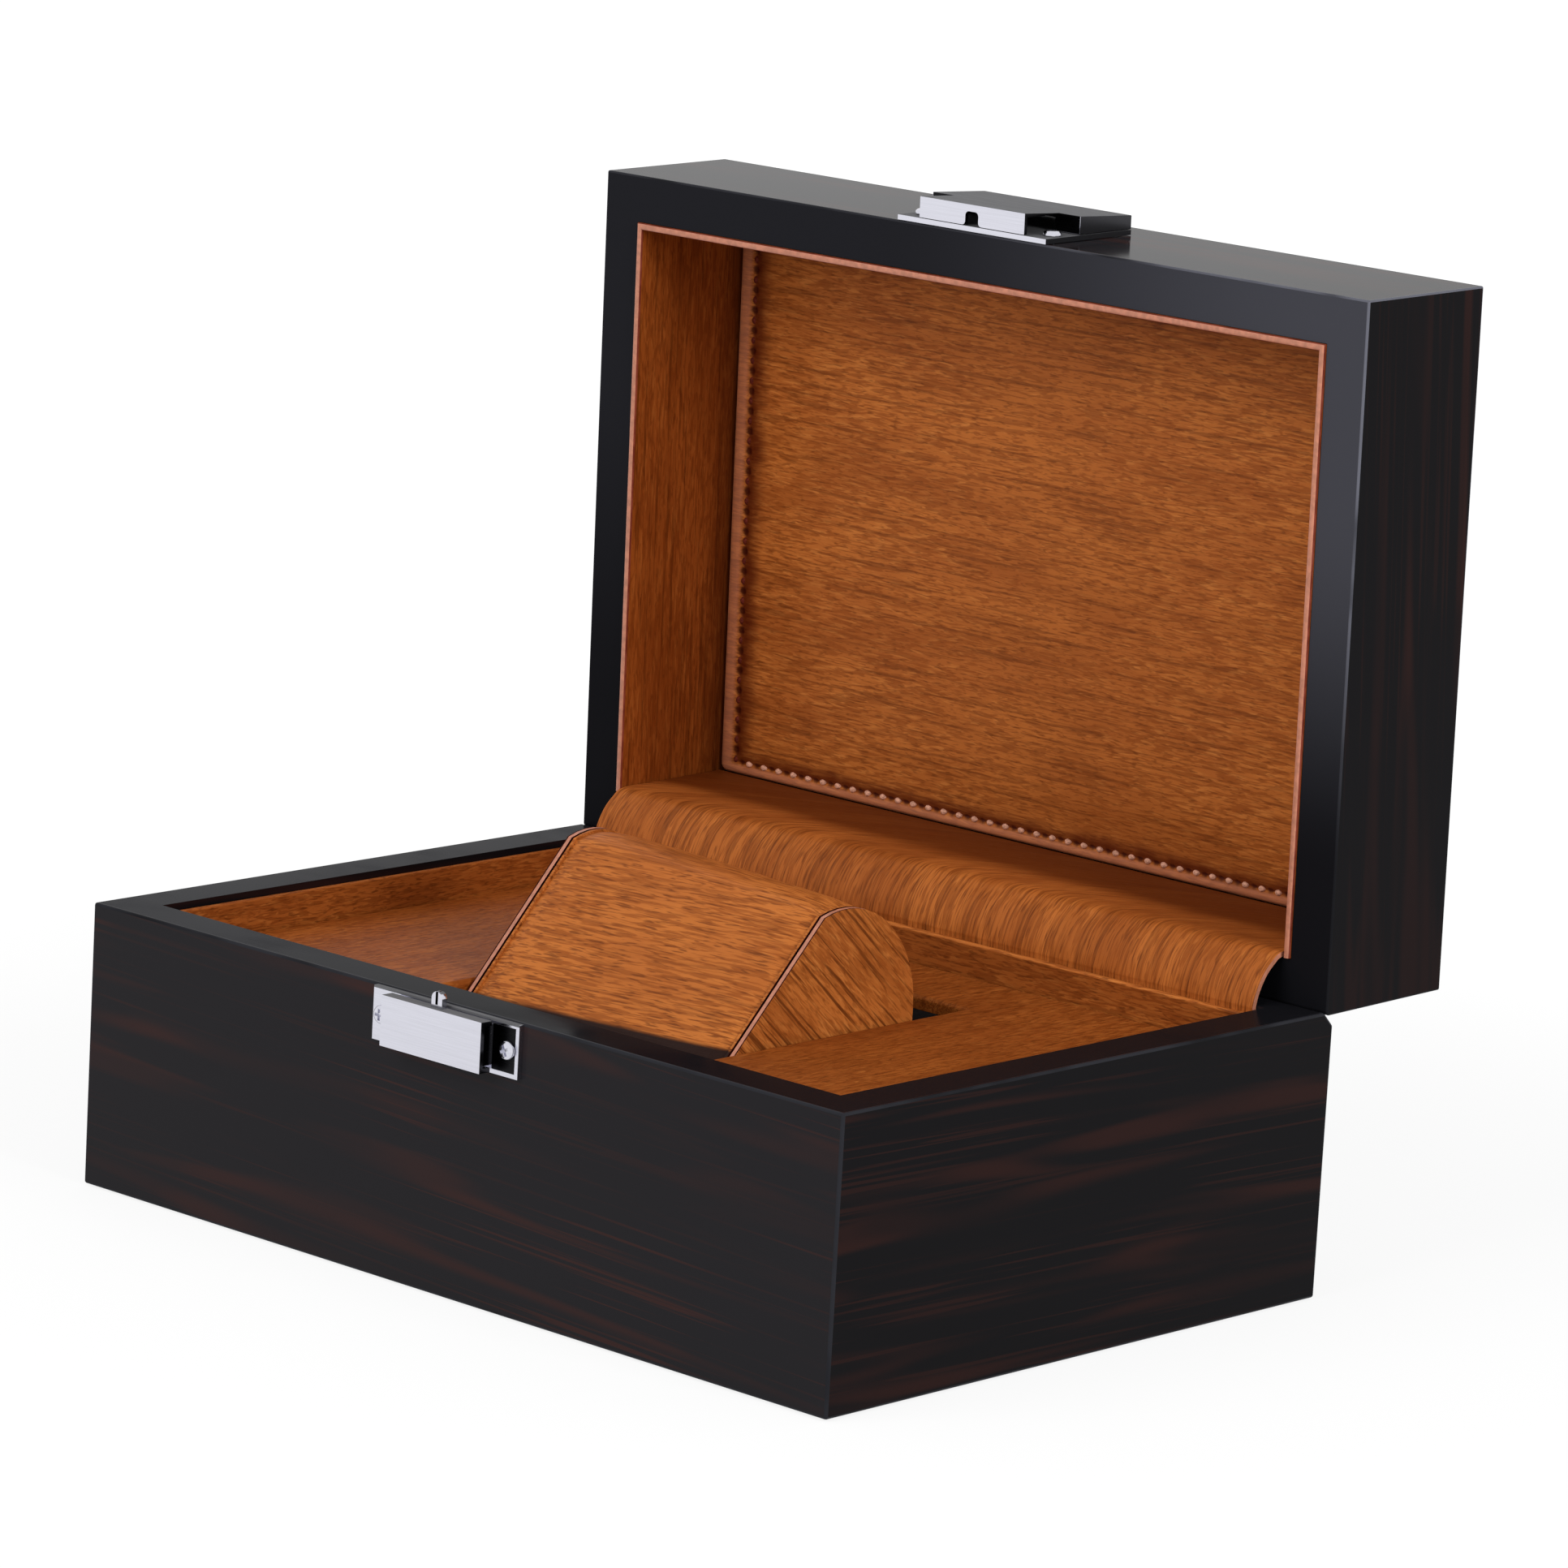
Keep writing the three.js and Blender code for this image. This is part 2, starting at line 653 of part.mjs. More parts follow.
function makeHinges() {
  const baseTop = -hingeAxisRise;
  const lidLow = rimGap - hingeAxisRise;
  const isLid = (k) => k % 2 === 1;
  const screw = screwGeometry(hingeScrew);
  for (const [side, x] of [["left", hingeCentres[0]], ["right", hingeCentres[1]]]) {
    const axis = [x, hingeY, hingeZ];
    const baseLeaf = leafGeometry((k) => !isLid(k), baseTop - leafThickness, baseTop, 1);
    const lidLeaf = leafGeometry(isLid, lidLow, lidLow + leafThickness, -1);
    place(jewelryCase, "hinge_" + side + "_base_leaf", baseLeaf, brass, axis);
    place(jewelryCase, "hinge_" + side + "_pin", rod(hingePinRadius, leafWidth, "x"), springSteel, axis);
    place(lid, "hinge_" + side + "_lid_leaf", lidLeaf, brass, axis);
  }
  hingeCentres.forEach((x, i) => {
    hingeScrewPlaces(x).forEach((sx, j) => {
      const number = i * 2 + j + 1;
      const y = hingeY - hingeScrewSetback;
      const baseSeat = baseHeight - leafThickness / 2;
      const lidSeat = lidRim + leafThickness / 2;
      const upside = screw.clone().rotateX(Math.PI);
      place(jewelryCase, "hinge_base_screw_" + number, screw, brass, [sx, y, baseSeat]);
      place(lid, "hinge_lid_screw_" + number, upside, brass, [sx, y, lidSeat]);
    });
  });
}

const bossHalfX = coverWidth / 2 - bossInset;
const coverMid = claspCoverTop - coverHeight / 2;
const bossHalfZ = coverHeight / 2 - coverWall - slideClearance;
const coverBack = plateThickness + pushTravel + pushClearance;
const outwards = (near, far) => [-halfDepth - far, -halfDepth - near];

function makeBaseClasp() {
  const halfPlate = platesWidth / 2;
  const plateZ = [claspPlateTop - basePlateHeight, claspPlateTop];
  const bossFace = plateThickness + bossStand;
  const bossZ = [coverMid - bossHalfZ, coverMid + bossHalfZ];
  const catchBack = catchFront - catchThickness;
  const tailRoom = block(
    [-catchWidth / 2 - pushClearance, catchWidth / 2 + pushClearance],
    outwards(catchBack - pushTravel - pushClearance, bossFace + overrun),
    [claspCoverTop - catchTail - pushClearance, bossZ[1] + overrun],
  );
  const pockets = sidePair.map((s) =>
    block(
      [s * springSpread - springPocket, s * springSpread + springPocket],
      outwards(springSeat, bossFace + overrun),
      [coverMid - springPocket, coverMid + springPocket],
    ),
  );
  const holes = sidePair.map((s) => claspPilot(s * claspScrewSpread, claspPlateMid));
  const plate = join(
    block([-halfPlate, halfPlate], outwards(0, plateThickness), plateZ),
    block([-bossHalfX, bossHalfX], outwards(plateThickness / 2, bossFace), bossZ),
  );
  place(jewelryCase, "clasp_base_plate", cut(plate, tailRoom, ...pockets, ...holes), chrome);
  const coverX = [-coverWidth / 2, coverWidth / 2];
  const coverZ = [claspCoverTop - coverHeight, claspCoverTop];
  const cover = cut(
    block(coverX, outwards(coverBack, coverProud), coverZ),
    block(
      coverX.map((x) => x + Math.sign(x) * overrun),
      outwards(coverBack - overrun, coverProud - coverWall),
      [coverZ[0] + coverWall, coverZ[1] - coverWall],
    ),
    block(
      [-catchWidth / 2 - catchSeatGap, catchWidth / 2 + catchSeatGap],
      outwards(catchBack - catchSeatGap, catchFront + catchSeatGap),
      [coverZ[1] - coverWall - overrun, coverZ[1] + overrun],
    ),
  );
  place(jewelryCase, "clasp_push_cover", cover, chrome);
}

// Two prongs with a round head, standing on the push cover.
function makeCatchPin() {
  const half = catchWidth / 2;
  const slit = catchSlit / 2;
  const shape = new THREE.Shape();
  const slitAngle = Math.asin(slit / half);
  shape.moveTo(-half, -catchTail);
  shape.lineTo(half, -catchTail);
  shape.lineTo(half, catchHeight - half);
  shape.absarc(0, catchHeight - half, half, 0, Math.PI / 2 - slitAngle, false);
  shape.lineTo(slit, catchSlitFoot);
  shape.lineTo(-slit, catchSlitFoot);
  shape.absarc(0, catchHeight - half, half, Math.PI / 2 + slitAngle, Math.PI, false);
  shape.lineTo(-half, -catchTail);
  const y = -halfDepth - catchFront + catchThickness;
  place(jewelryCase, "clasp_catch_pin", prismOut(shape, catchThickness), chrome, [0, y, claspCoverTop]);
}

// Tube wound as one unbroken helix along -Y between the pocket's floor and the cover.
function makeSprings() {
  const from = springSeat + springEndGap + springWire;
  const to = coverProud - coverWall - springEndGap - springWire;
  const turnSteps = 8;
  const wireSides = 5;
  const steps = springTurns * turnSteps;
  const helix = (i) => {
    const angle = (i / turnSteps) * Math.PI * 2;
    const out = from + ((to - from) * i) / steps;
    return new THREE.Vector3(springRadius * Math.cos(angle), -out, springRadius * Math.sin(angle));
  };
  const ring = (i) => {
    const p = helix(i);
    const ahead = helix(i + 1).sub(helix(i - 1)).normalize();
    const out = new THREE.Vector3(p.x, 0, p.z).normalize();
    const across = new THREE.Vector3().crossVectors(ahead, out);
    return Array.from({ length: wireSides }, (_, s) => {
      const a = (s / wireSides) * Math.PI * 2;
      const q = p.clone().addScaledVector(out, springWire * Math.cos(a));
      q.addScaledVector(across, springWire * Math.sin(a));
      return [q.x, q.y, q.z];
    });
  };
  const wire = loft(Array.from({ length: steps + 1 }, (_, i) => ring(i)));
  const coilGap = (to - from) / springTurns - 2 * springWire;
  console.log("least gap between the clasp spring's turns: " + coilGap.toFixed(2) + " mm");
  place(jewelryCase, "clasp_spring_left", wire, springSteel, [-springSpread, -halfDepth, coverMid]);
  place(jewelryCase, "clasp_spring_right", wire.clone(), springSteel, [springSpread, -halfDepth, coverMid]);
}

// Hood outline seen from the front: a waist at the rim and full width above it.
function hoodOutline(inset) {
  const half = platesWidth / 2 - inset;
  const waist = hoodWaist / 2 - inset;
  const shoulder = hoodWaistHeight + inset;
  return outline([
    [-waist, inset],
    [waist, inset],
    [waist, shoulder],
    [half, shoulder],
    [half, lidPlateHeight - inset],
    [-half, lidPlateHeight - inset],
    [-half, shoulder],
    [-waist, shoulder],
  ]);
}

// Hood seen from the side, in Y and Z: it slopes down to its rear end.
function hoodSide(inset, back) {
  return outline([
    [-back, -overrun],
    [-back, lidPlateHeight + overrun],
    [-hoodRearProud + inset, lidPlateHeight + overrun],
    [-hoodRearProud + inset, lidPlateHeight],
    [-hoodFrontProud + inset, 0],
    [-hoodFrontProud + inset, -overrun],
  ]);
}

function makeLidClasp() {
  const halfPlate = platesWidth / 2;
  const plate = cut(
    block([-halfPlate, halfPlate], outwards(glueGap, plateThickness), [lidRim, lidRim + lidPlateHeight]),
    ...sidePair.map((s) => claspPilot(s * claspScrewSpread, claspScrewZ)),
  );
  place(lid, "clasp_lid_plate", plate, chrome);
  const back = plateThickness + glueGap;
  const outer = common(
    prismX(hoodSide(0, back), platesWidth + overrun),
    prismOut(hoodOutline(0), hoodFrontProud + overrun),
  );
  const inner = common(
    prismX(hoodSide(hoodWall, 0), platesWidth + overrun),
    prismOut(hoodOutline(hoodWall), hoodFrontProud + overrun),
  );
  const openEnds = block(
    [-hoodWaist / 2 - overrun, hoodWaist / 2 + overrun],
    [-hoodFrontProud + hoodWall, 0],
    [hoodWall, hoodWaistHeight],
  );
  const slotBack = catchFront - catchThickness - pushTravel - slotEndClearance;
  const slot = block(
    [-catchWidth / 2 - slotClearance, catchWidth / 2 + slotClearance],
    [-catchFront - slotEndClearance, -Math.max(slotBack, back)],
    [-overrun, hoodWall + overrun],
  );
  place(lid, "clasp_lid_hood", cut(outer, inner, openEnds, slot), chrome, [0, -halfDepth, lidRim]);
}

function makeClaspScrews() {
  const screw = screwGeometry(claspScrew).rotateX(Math.PI / 2);
  const y = -halfDepth - plateThickness - headLift;
  for (const [side, s] of [["left", -1], ["right", 1]]) {
    place(jewelryCase, "clasp_base_screw_" + side, screw, chrome, [s * claspScrewSpread, y, claspPlateMid]);
    place(lid, "clasp_lid_screw_" + side, screw.clone(), chrome, [s * claspScrewSpread, y, claspScrewZ]);
  }
}

makeBoards();
makePanels();
makeBaseLiners();
makeLidLiners();
makeDeck();
makePillow();
makeLidPad();
makeHingeCover();
makeHinges();
makeBaseClasp();
makeCatchPin();
makeSprings();
makeLidClasp();
makeClaspScrews();

export default jewelryCase;
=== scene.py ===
"""Looks of a lacquered jewelry case with a leather-covered inside and a push clasp.

Laid out as a Blender add-on and run as a script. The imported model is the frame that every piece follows.
"""

import json
import math

import bmesh
import bpy
from mathutils import Matrix, Vector, noise


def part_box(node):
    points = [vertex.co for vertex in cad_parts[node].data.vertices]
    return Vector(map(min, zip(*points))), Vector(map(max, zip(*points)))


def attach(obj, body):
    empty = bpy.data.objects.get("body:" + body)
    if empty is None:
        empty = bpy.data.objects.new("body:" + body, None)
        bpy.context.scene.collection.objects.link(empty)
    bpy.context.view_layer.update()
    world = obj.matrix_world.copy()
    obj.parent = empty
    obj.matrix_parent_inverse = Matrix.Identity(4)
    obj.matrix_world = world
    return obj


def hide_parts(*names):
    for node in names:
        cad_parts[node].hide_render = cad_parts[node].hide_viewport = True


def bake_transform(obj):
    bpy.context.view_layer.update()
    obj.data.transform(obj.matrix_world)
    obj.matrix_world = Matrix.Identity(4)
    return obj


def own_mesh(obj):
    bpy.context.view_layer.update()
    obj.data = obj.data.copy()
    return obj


bl_info = {
    "name": "Jewelry case looks",
    "version": (1, 0, 0),
    "blender": (4, 5, 0),
    "location": "3D View > Sidebar > Jewelry Case",
    "description": "Dresses a packed jewelry case in lacquer, printed leather and polished metal",
    "category": "Add Mesh",
}

MM = 0.001

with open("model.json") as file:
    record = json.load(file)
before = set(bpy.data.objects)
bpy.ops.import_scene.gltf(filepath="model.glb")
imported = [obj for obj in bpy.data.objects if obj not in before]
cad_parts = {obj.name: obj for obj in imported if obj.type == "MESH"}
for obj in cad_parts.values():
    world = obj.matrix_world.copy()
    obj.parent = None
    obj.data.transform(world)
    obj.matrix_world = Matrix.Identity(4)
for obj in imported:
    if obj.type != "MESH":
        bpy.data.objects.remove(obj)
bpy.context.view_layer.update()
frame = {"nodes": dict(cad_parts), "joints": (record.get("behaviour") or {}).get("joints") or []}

# The lid is modelled shut, where its sides are square to the axes, and then opened on its hinge.
LID_JOINT = next(joint for joint in frame["joints"] if joint["name"] == "lid_hinge")
HINGE = Vector(LID_JOINT["pos_m"])
OPEN_ANGLE = math.radians(LID_JOINT["range_deg"][1])
SHUT = Matrix.Translation(HINGE) @ Matrix.Rotation(OPEN_ANGLE, 4, "X") @ Matrix.Translation(-HINGE)
OPENED = SHUT.inverted()

SIDES = {
    "front": Vector((0, -1, 0)),
    "rear": Vector((0, 1, 0)),
    "left": Vector((-1, 0, 0)),
    "right": Vector((1, 0, 0)),
}


def shut_box(*nodes):
    """Lowest and highest corner of CAD nodes of the lid, measured with the lid shut."""
    points = [SHUT @ v.co for n in nodes for v in frame["nodes"][n].data.vertices]
    low = Vector([min(p[k] for p in points) for k in range(3)])
    high = Vector([max(p[k] for p in points) for k in range(3)])
    return low, high


def rest_box(*nodes):
    """Lowest and highest corner of CAD nodes as they stand."""
    boxes = [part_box(n) for n in nodes]
    low = Vector([min(b[0][k] for b in boxes) for k in range(3)])
    high = Vector([max(b[1][k] for b in boxes) for k in range(3)])
    return low, high


def srgb(red, green, blue):
    """A colour read off a screen, 0 to 255, as the linear values that a shader takes."""
    values = [c / 255 for c in (red, green, blue)]
    return (*[c / 12.92 if c <= 0.04045 else ((c + 0.055) / 1.055) ** 2.4 for c in values], 1.0)


class CaseSizes(bpy.types.PropertyGroup):
    """Sizes of the finish, in metres."""

    edge_round: bpy.props.FloatProperty(
        name="Edge rounding", description="Easing of the lacquered edges",
        default=0.5 * MM, unit="LENGTH",
    )
    rim_chamfer: bpy.props.FloatProperty(
        name="Base chamfer", description="Chamfer along the rear of the base's rim",
        default=2.5 * MM, unit="LENGTH",
    )
    lid_chamfer: bpy.props.FloatProperty(
        name="Lid chamfer", description="Chamfer along the rear of the lid's rim",
        default=0.6 * MM, unit="LENGTH",
    )
    leather_round: bpy.props.FloatProperty(
        name="Leather fold", description="Radius of leather folded over an edge",
        default=0.5 * MM, unit="LENGTH",
    )
    metal_round: bpy.props.FloatProperty(
        name="Metal edge", description="Polished edge of the clasp's plates",
        default=0.12 * MM, unit="LENGTH",
    )
    stitch_inset: bpy.props.FloatProperty(
        name="Stitch inset", description="From the pad's lower and upper edge to its stitches",
        default=2.3 * MM, unit="LENGTH",
    )
    side_inset: bpy.props.FloatProperty(
        name="Side stitch inset", description="From the pad's left and right edge to its stitches",
        default=3.9 * MM, unit="LENGTH",
    )
    stitch_pitch: bpy.props.FloatProperty(
        name="Stitch pitch", description="From one stitch to the next",
        default=3.8 * MM, unit="LENGTH",
    )
    stitch_length: bpy.props.FloatProperty(
        name="Stitch length", description="Visible length of a stitch",
        default=1.7 * MM, unit="LENGTH",
    )
    cover_thickness: bpy.props.FloatProperty(
        name="Hinge cover", description="Thickness of the hinge cover's leather",
        default=0.9 * MM, unit="LENGTH",
    )
    pillow_back: bpy.props.FloatProperty(
        name="Pillow set back", description="How far the soft pillow's front is set back above its well",
        default=1.7 * MM, unit="LENGTH",
    )
    pillow_lift: bpy.props.FloatProperty(
        name="Pillow lift", description="How much fuller the soft pillow's left end stands",
        default=2.4 * MM, unit="LENGTH",
    )


class CaseColours(bpy.types.PropertyGroup):
    """Colours of the finish."""

    veneer: bpy.props.FloatVectorProperty(
        name="Veneer", description="Dark ground of the veneer", subtype="COLOR", size=4,
        default=(0.0135, 0.0122, 0.0145, 1),
    )
    streak: bpy.props.FloatVectorProperty(
        name="Streak", description="Red-brown streaks of the veneer", subtype="COLOR", size=4,
        default=(0.052, 0.0165, 0.0125, 1),
    )
    rim: bpy.props.FloatVectorProperty(
        name="Rim", description="Plain lacquer of the rims", subtype="COLOR", size=4,
        default=(0.0085, 0.0085, 0.0105, 1),
    )
    # The colour of a painted reflection on the rims and a painted highlight on the eased edges, standing in
    # for the lacquer mirroring its surroundings
    slate: bpy.props.FloatVectorProperty(
        name="Slate", description="Rim lacquer where it is polished brightest", subtype="COLOR", size=4,
        default=(0.060, 0.061, 0.074, 1),
    )
    leather: bpy.props.FloatVectorProperty(
        name="Leather", description="Ground of the printed leather", subtype="COLOR", size=4,
        default=srgb(192, 112, 50),
    )
    leather_warm: bpy.props.FloatVectorProperty(
        name="Warm leather", description="Redder patches of the ground", subtype="COLOR", size=4,
        default=srgb(180, 102, 45),
    )
    leather_pale: bpy.props.FloatVectorProperty(
        name="Pale strokes", description="Lighter strokes of the print", subtype="COLOR", size=4,
        default=srgb(212, 134, 66),
    )
    leather_deep: bpy.props.FloatVectorProperty(
        name="Leather figure", description="Darker figure and strokes", subtype="COLOR", size=4,
        default=srgb(144, 74, 27),
    )
    dash: bpy.props.FloatVectorProperty(
        name="Dashes", description="Short dark dashes and lines of the print", subtype="COLOR", size=4,
        default=srgb(92, 42, 12),
    )
    cut_edge: bpy.props.FloatVectorProperty(
        name="Cut edge", description="Edge paint of cut leather", subtype="COLOR", size=4,
        default=srgb(205, 134, 106),
    )
    thread: bpy.props.FloatVectorProperty(
        name="Thread", description="Stitches of the lid's pad", subtype="COLOR", size=4,
        default=srgb(240, 176, 146),
    )
    metal: bpy.props.FloatVectorProperty(
        name="Clasp metal", description="Bright plating of the clasp", subtype="COLOR", size=4,
        default=srgb(214, 214, 224),
    )


# Materials

# Sizes of the veneer's features, along and across the grain
PATCH_SIZE = (70 * MM, 16 * MM)
BAND_SIZE = (100 * MM, 6 * MM)
STREAK_SIZE = (85 * MM, 0.9 * MM)

# Sizes of the leather print's features, along and across the grain
HUE_SIZE = (30 * MM, 14 * MM)
FLAME_SIZE = (55 * MM, 8 * MM)
PALE_SIZE = (5 * MM, 0.6 * MM)
WAVY_SIZE = (4.6 * MM, 0.6 * MM)
DASH_SIZE = (2.2 * MM, 0.36 * MM)
LINE_SIZE = (26 * MM, 0.7 * MM)
PEBBLE_SIZE = (1.1 * MM, 0.8 * MM)
PEBBLE_DEPTH = 0.04 * MM

# Sizes of the marks of polishing, of the patches of painted highlight along the edges, and of the thread's
# twist
POLISH_SIZE = (12 * MM, 0.18 * MM)
RIPPLE_SIZE = (20 * MM, 12 * MM)
HIGHLIGHT_PATCH_SIZE = (20 * MM, 20 * MM)
TWIST_SIZE = (0.6 * MM, 0.3 * MM)

# Darker colours laid over the leather: a dark red along the pad's stitches; painted shade in its needle
# holes, in the well and in the lid's corners; and the cover's level part, darker partly by its print and
# partly by painted shade
BORDER_RED = srgb(84, 24, 6)
HOLE_SHADE = srgb(58, 12, 4)
LEVEL_PRINT_AND_SHADE = srgb(92, 36, 6)
WELL_SHADE = srgb(34, 13, 6)
CORNER_SHADE = srgb(48, 12, 4)


def new_material(name, roughness, level=0.5):
    """A material with its node tree and its shader, whose mirroring has a level."""
    material = bpy.data.materials.new(name)
    material.use_nodes = True
    shader = material.node_tree.nodes["Principled BSDF"]
    shader.inputs["Roughness"].default_value = roughness
    shader.inputs["Specular IOR Level"].default_value = level
    return material, material.node_tree, shader


def add_node(tree, kind, inputs=None, **settings):
    """A shader node. An input is a value, or the socket that feeds it."""
    made = tree.nodes.new(kind)
    for key, value in settings.items():
        setattr(made, key, value)
    for key, value in (inputs or {}).items():
        if isinstance(value, bpy.types.NodeSocket):
            tree.links.new(value, made.inputs[key])
        else:
            made.inputs[key].default_value = value
    return made


def grain_space(tree, along, sizes, turn=(0, 0, 0), source="Object"):
    """Coordinates turned by an angle and measured in features: their sizes along and across the grain."""
    coordinates = add_node(tree, "ShaderNodeTexCoord")
    along_size, across_size = sizes
    scale = [along_size if axis == along else across_size for axis in "XYZ"]
    inputs = {"Vector": coordinates.outputs[source], "Rotation": turn, "Scale": scale}
    return add_node(tree, "ShaderNodeMapping", inputs, vector_type="TEXTURE").outputs["Vector"]


def place_of(tree):
    """The shaded point's coordinates in its piece, one by one."""
    coordinates = add_node(tree, "ShaderNodeTexCoord")
    return add_node(tree, "ShaderNodeSeparateXYZ", {"Vector": coordinates.outputs["Object"]}).outputs


def value_on_mesh(tree, name):
    return add_node(tree, "ShaderNodeAttribute", attribute_name=name).outputs["Fac"]


def noise_of(tree, space, detail=2.0, distortion=0.0, noise_roughness=0.5):
    inputs = {"Vector": space, "Scale": 1.0, "Detail": detail}
    inputs.update({"Distortion": distortion, "Roughness": noise_roughness})
    return add_node(tree, "ShaderNodeTexNoise", inputs).outputs["Fac"]


def between(tree, value, low, high, top=1.0):
    """A value as a share of the way from low to high, clamped, times top."""
    inputs = {"Value": value, "From Min": low, "From Max": high, "To Min": 0.0, "To Max": top}
    return add_node(tree, "ShaderNodeMapRange", inputs, interpolation_type="SMOOTHSTEP").outputs["Result"]


def mix(tree, share, first, second, blend="MIX"):
    inputs = {0: share, 6: first, 7: second}
    return add_node(tree, "ShaderNodeMix", inputs, data_type="RGBA", blend_type=blend).outputs[2]


def math_of(tree, operation, first, second):
    return add_node(tree, "ShaderNodeMath", {0: first, 1: second}, operation=operation).outputs[0]


def product(tree, first, second):
    return math_of(tree, "MULTIPLY", first, second)


def colour_by(tree, shader, share, first, second):
    """Colours a shader with a mix of two colours."""
    tree.links.new(mix(tree, share, first, second), shader.inputs["Base Color"])


def rough_by(tree, shader, value, low, high):
    """Lets a value from nought to one run the shader's roughness from low to high."""
    spread = add_node(tree, "ShaderNodeMapRange", {"Value": value, "To Min": low, "To Max": high})
    tree.links.new(spread.outputs["Result"], shader.inputs["Roughness"])


def bump(tree, shader, height, distance, strength=1.0):
    inputs = {"Height": height, "Distance": distance, "Strength": strength}
    tree.links.new(add_node(tree, "ShaderNodeBump", inputs).outputs["Normal"], shader.inputs["Normal"])


def shade_of(colour):
    """A colour, or the case's colour that has this name."""
    return getattr(bpy.context.scene.case_colours, colour) if isinstance(colour, str) else colour


def dimmed(colour, share):
    return (*[c * share for c in colour[:3]], 1.0)


def degrees(*values):
    return tuple(math.radians(v) for v in values)


def lid_turn(slant=0):
    """The turn that lines a grain up with the open lid, or slants it by some degrees."""
    return (math.radians(slant) - OPEN_ANGLE, 0, 0)


def veneer(name, along, turn=(0, 0, 0), tone=1.0, gloss=0.08, seed=0.0, figured=1.0):
    """Near-black veneer under lacquer, with soft red-brown bands and thin lines along the grain."""
    material, tree, shader = new_material(name, 0.13, gloss)

    def figure(size, **more):
        space = grain_space(tree, along, size, turn)
        moved = add_node(tree, "ShaderNodeVectorMath", {0: space, 1: (seed, seed, seed)}, operation="ADD")
        return noise_of(tree, moved.outputs[0], **more)

    where = between(tree, figure(PATCH_SIZE, detail=1.0), 0.40, 0.60)
    bands = between(tree, figure(BAND_SIZE, detail=1.0, distortion=0.8), 0.48, 0.68, 0.55)
    lines = between(tree, figure(STREAK_SIZE, distortion=0.5), 0.56, 0.66, 0.6 * figured)
    bands = product(tree, bands, math_of(tree, "MAXIMUM", where, 0.45))
    lines = product(tree, lines, math_of(tree, "MAXIMUM", where, 0.3))
    share = math_of(tree, "MAXIMUM", lines, bands)
    ground, streak = dimmed(shade_of("veneer"), tone), dimmed(shade_of("streak"), 0.5 + 0.5 * tone)
    colour_by(tree, shader, share, ground, streak)
    return material


def lid_painted_reflection(tree):
    """Where the lid's painted reflection lies: a share that grows towards the upper right of the open lid.
    """
    place = place_of(tree)
    up = between(tree, place["Z"], 75 * MM, 140 * MM)
    across = between(tree, place["X"], -20 * MM, 85 * MM, 0.85)
    return product(tree, up, math_of(tree, "ADD", across, 0.15))


def base_painted_reflection(tree):
    """Where the base's painted reflection lies: a share that grows towards the left of the base's rim."""
    most = 0.18
    return math_of(tree, "SUBTRACT", most, between(tree, place_of(tree)["X"], -70 * MM, 10 * MM, most))


def rim_lacquer(name, lid):
    """Plain dark lacquer of a rim, with a painted reflection that makes it brighter at the lid's upper
    right and the base's left.
    """
    material, tree, shader = new_material(name, 0.2, 0.009 if lid else 0.005)
    ripple = noise_of(tree, grain_space(tree, "X", RIPPLE_SIZE))
    tree.links.new(between(tree, ripple, 0.0, 1.0, 0.35), shader.inputs["Roughness"])
    share = lid_painted_reflection(tree) if lid else base_painted_reflection(tree)
    colour_by(tree, shader, share, shade_of("rim"), shade_of("slate"))
    return material


def edge_lacquer(name, lid):
    """The eased edges, with a painted highlight: a slightly brighter line in places."""
    material, tree, shader = new_material(name, 0.15, 0.04)
    painted_highlight = between(tree, noise_of(tree, grain_space(tree, "X", HIGHLIGHT_PATCH_SIZE)), 0.25, 0.55)
    if lid:
        painted_highlight = product(tree, painted_highlight, lid_painted_reflection(tree))
    colour_by(tree, shader, painted_highlight, shade_of("rim"), dimmed(shade_of("slate"), 2.2 if lid else 0.4))
    return material


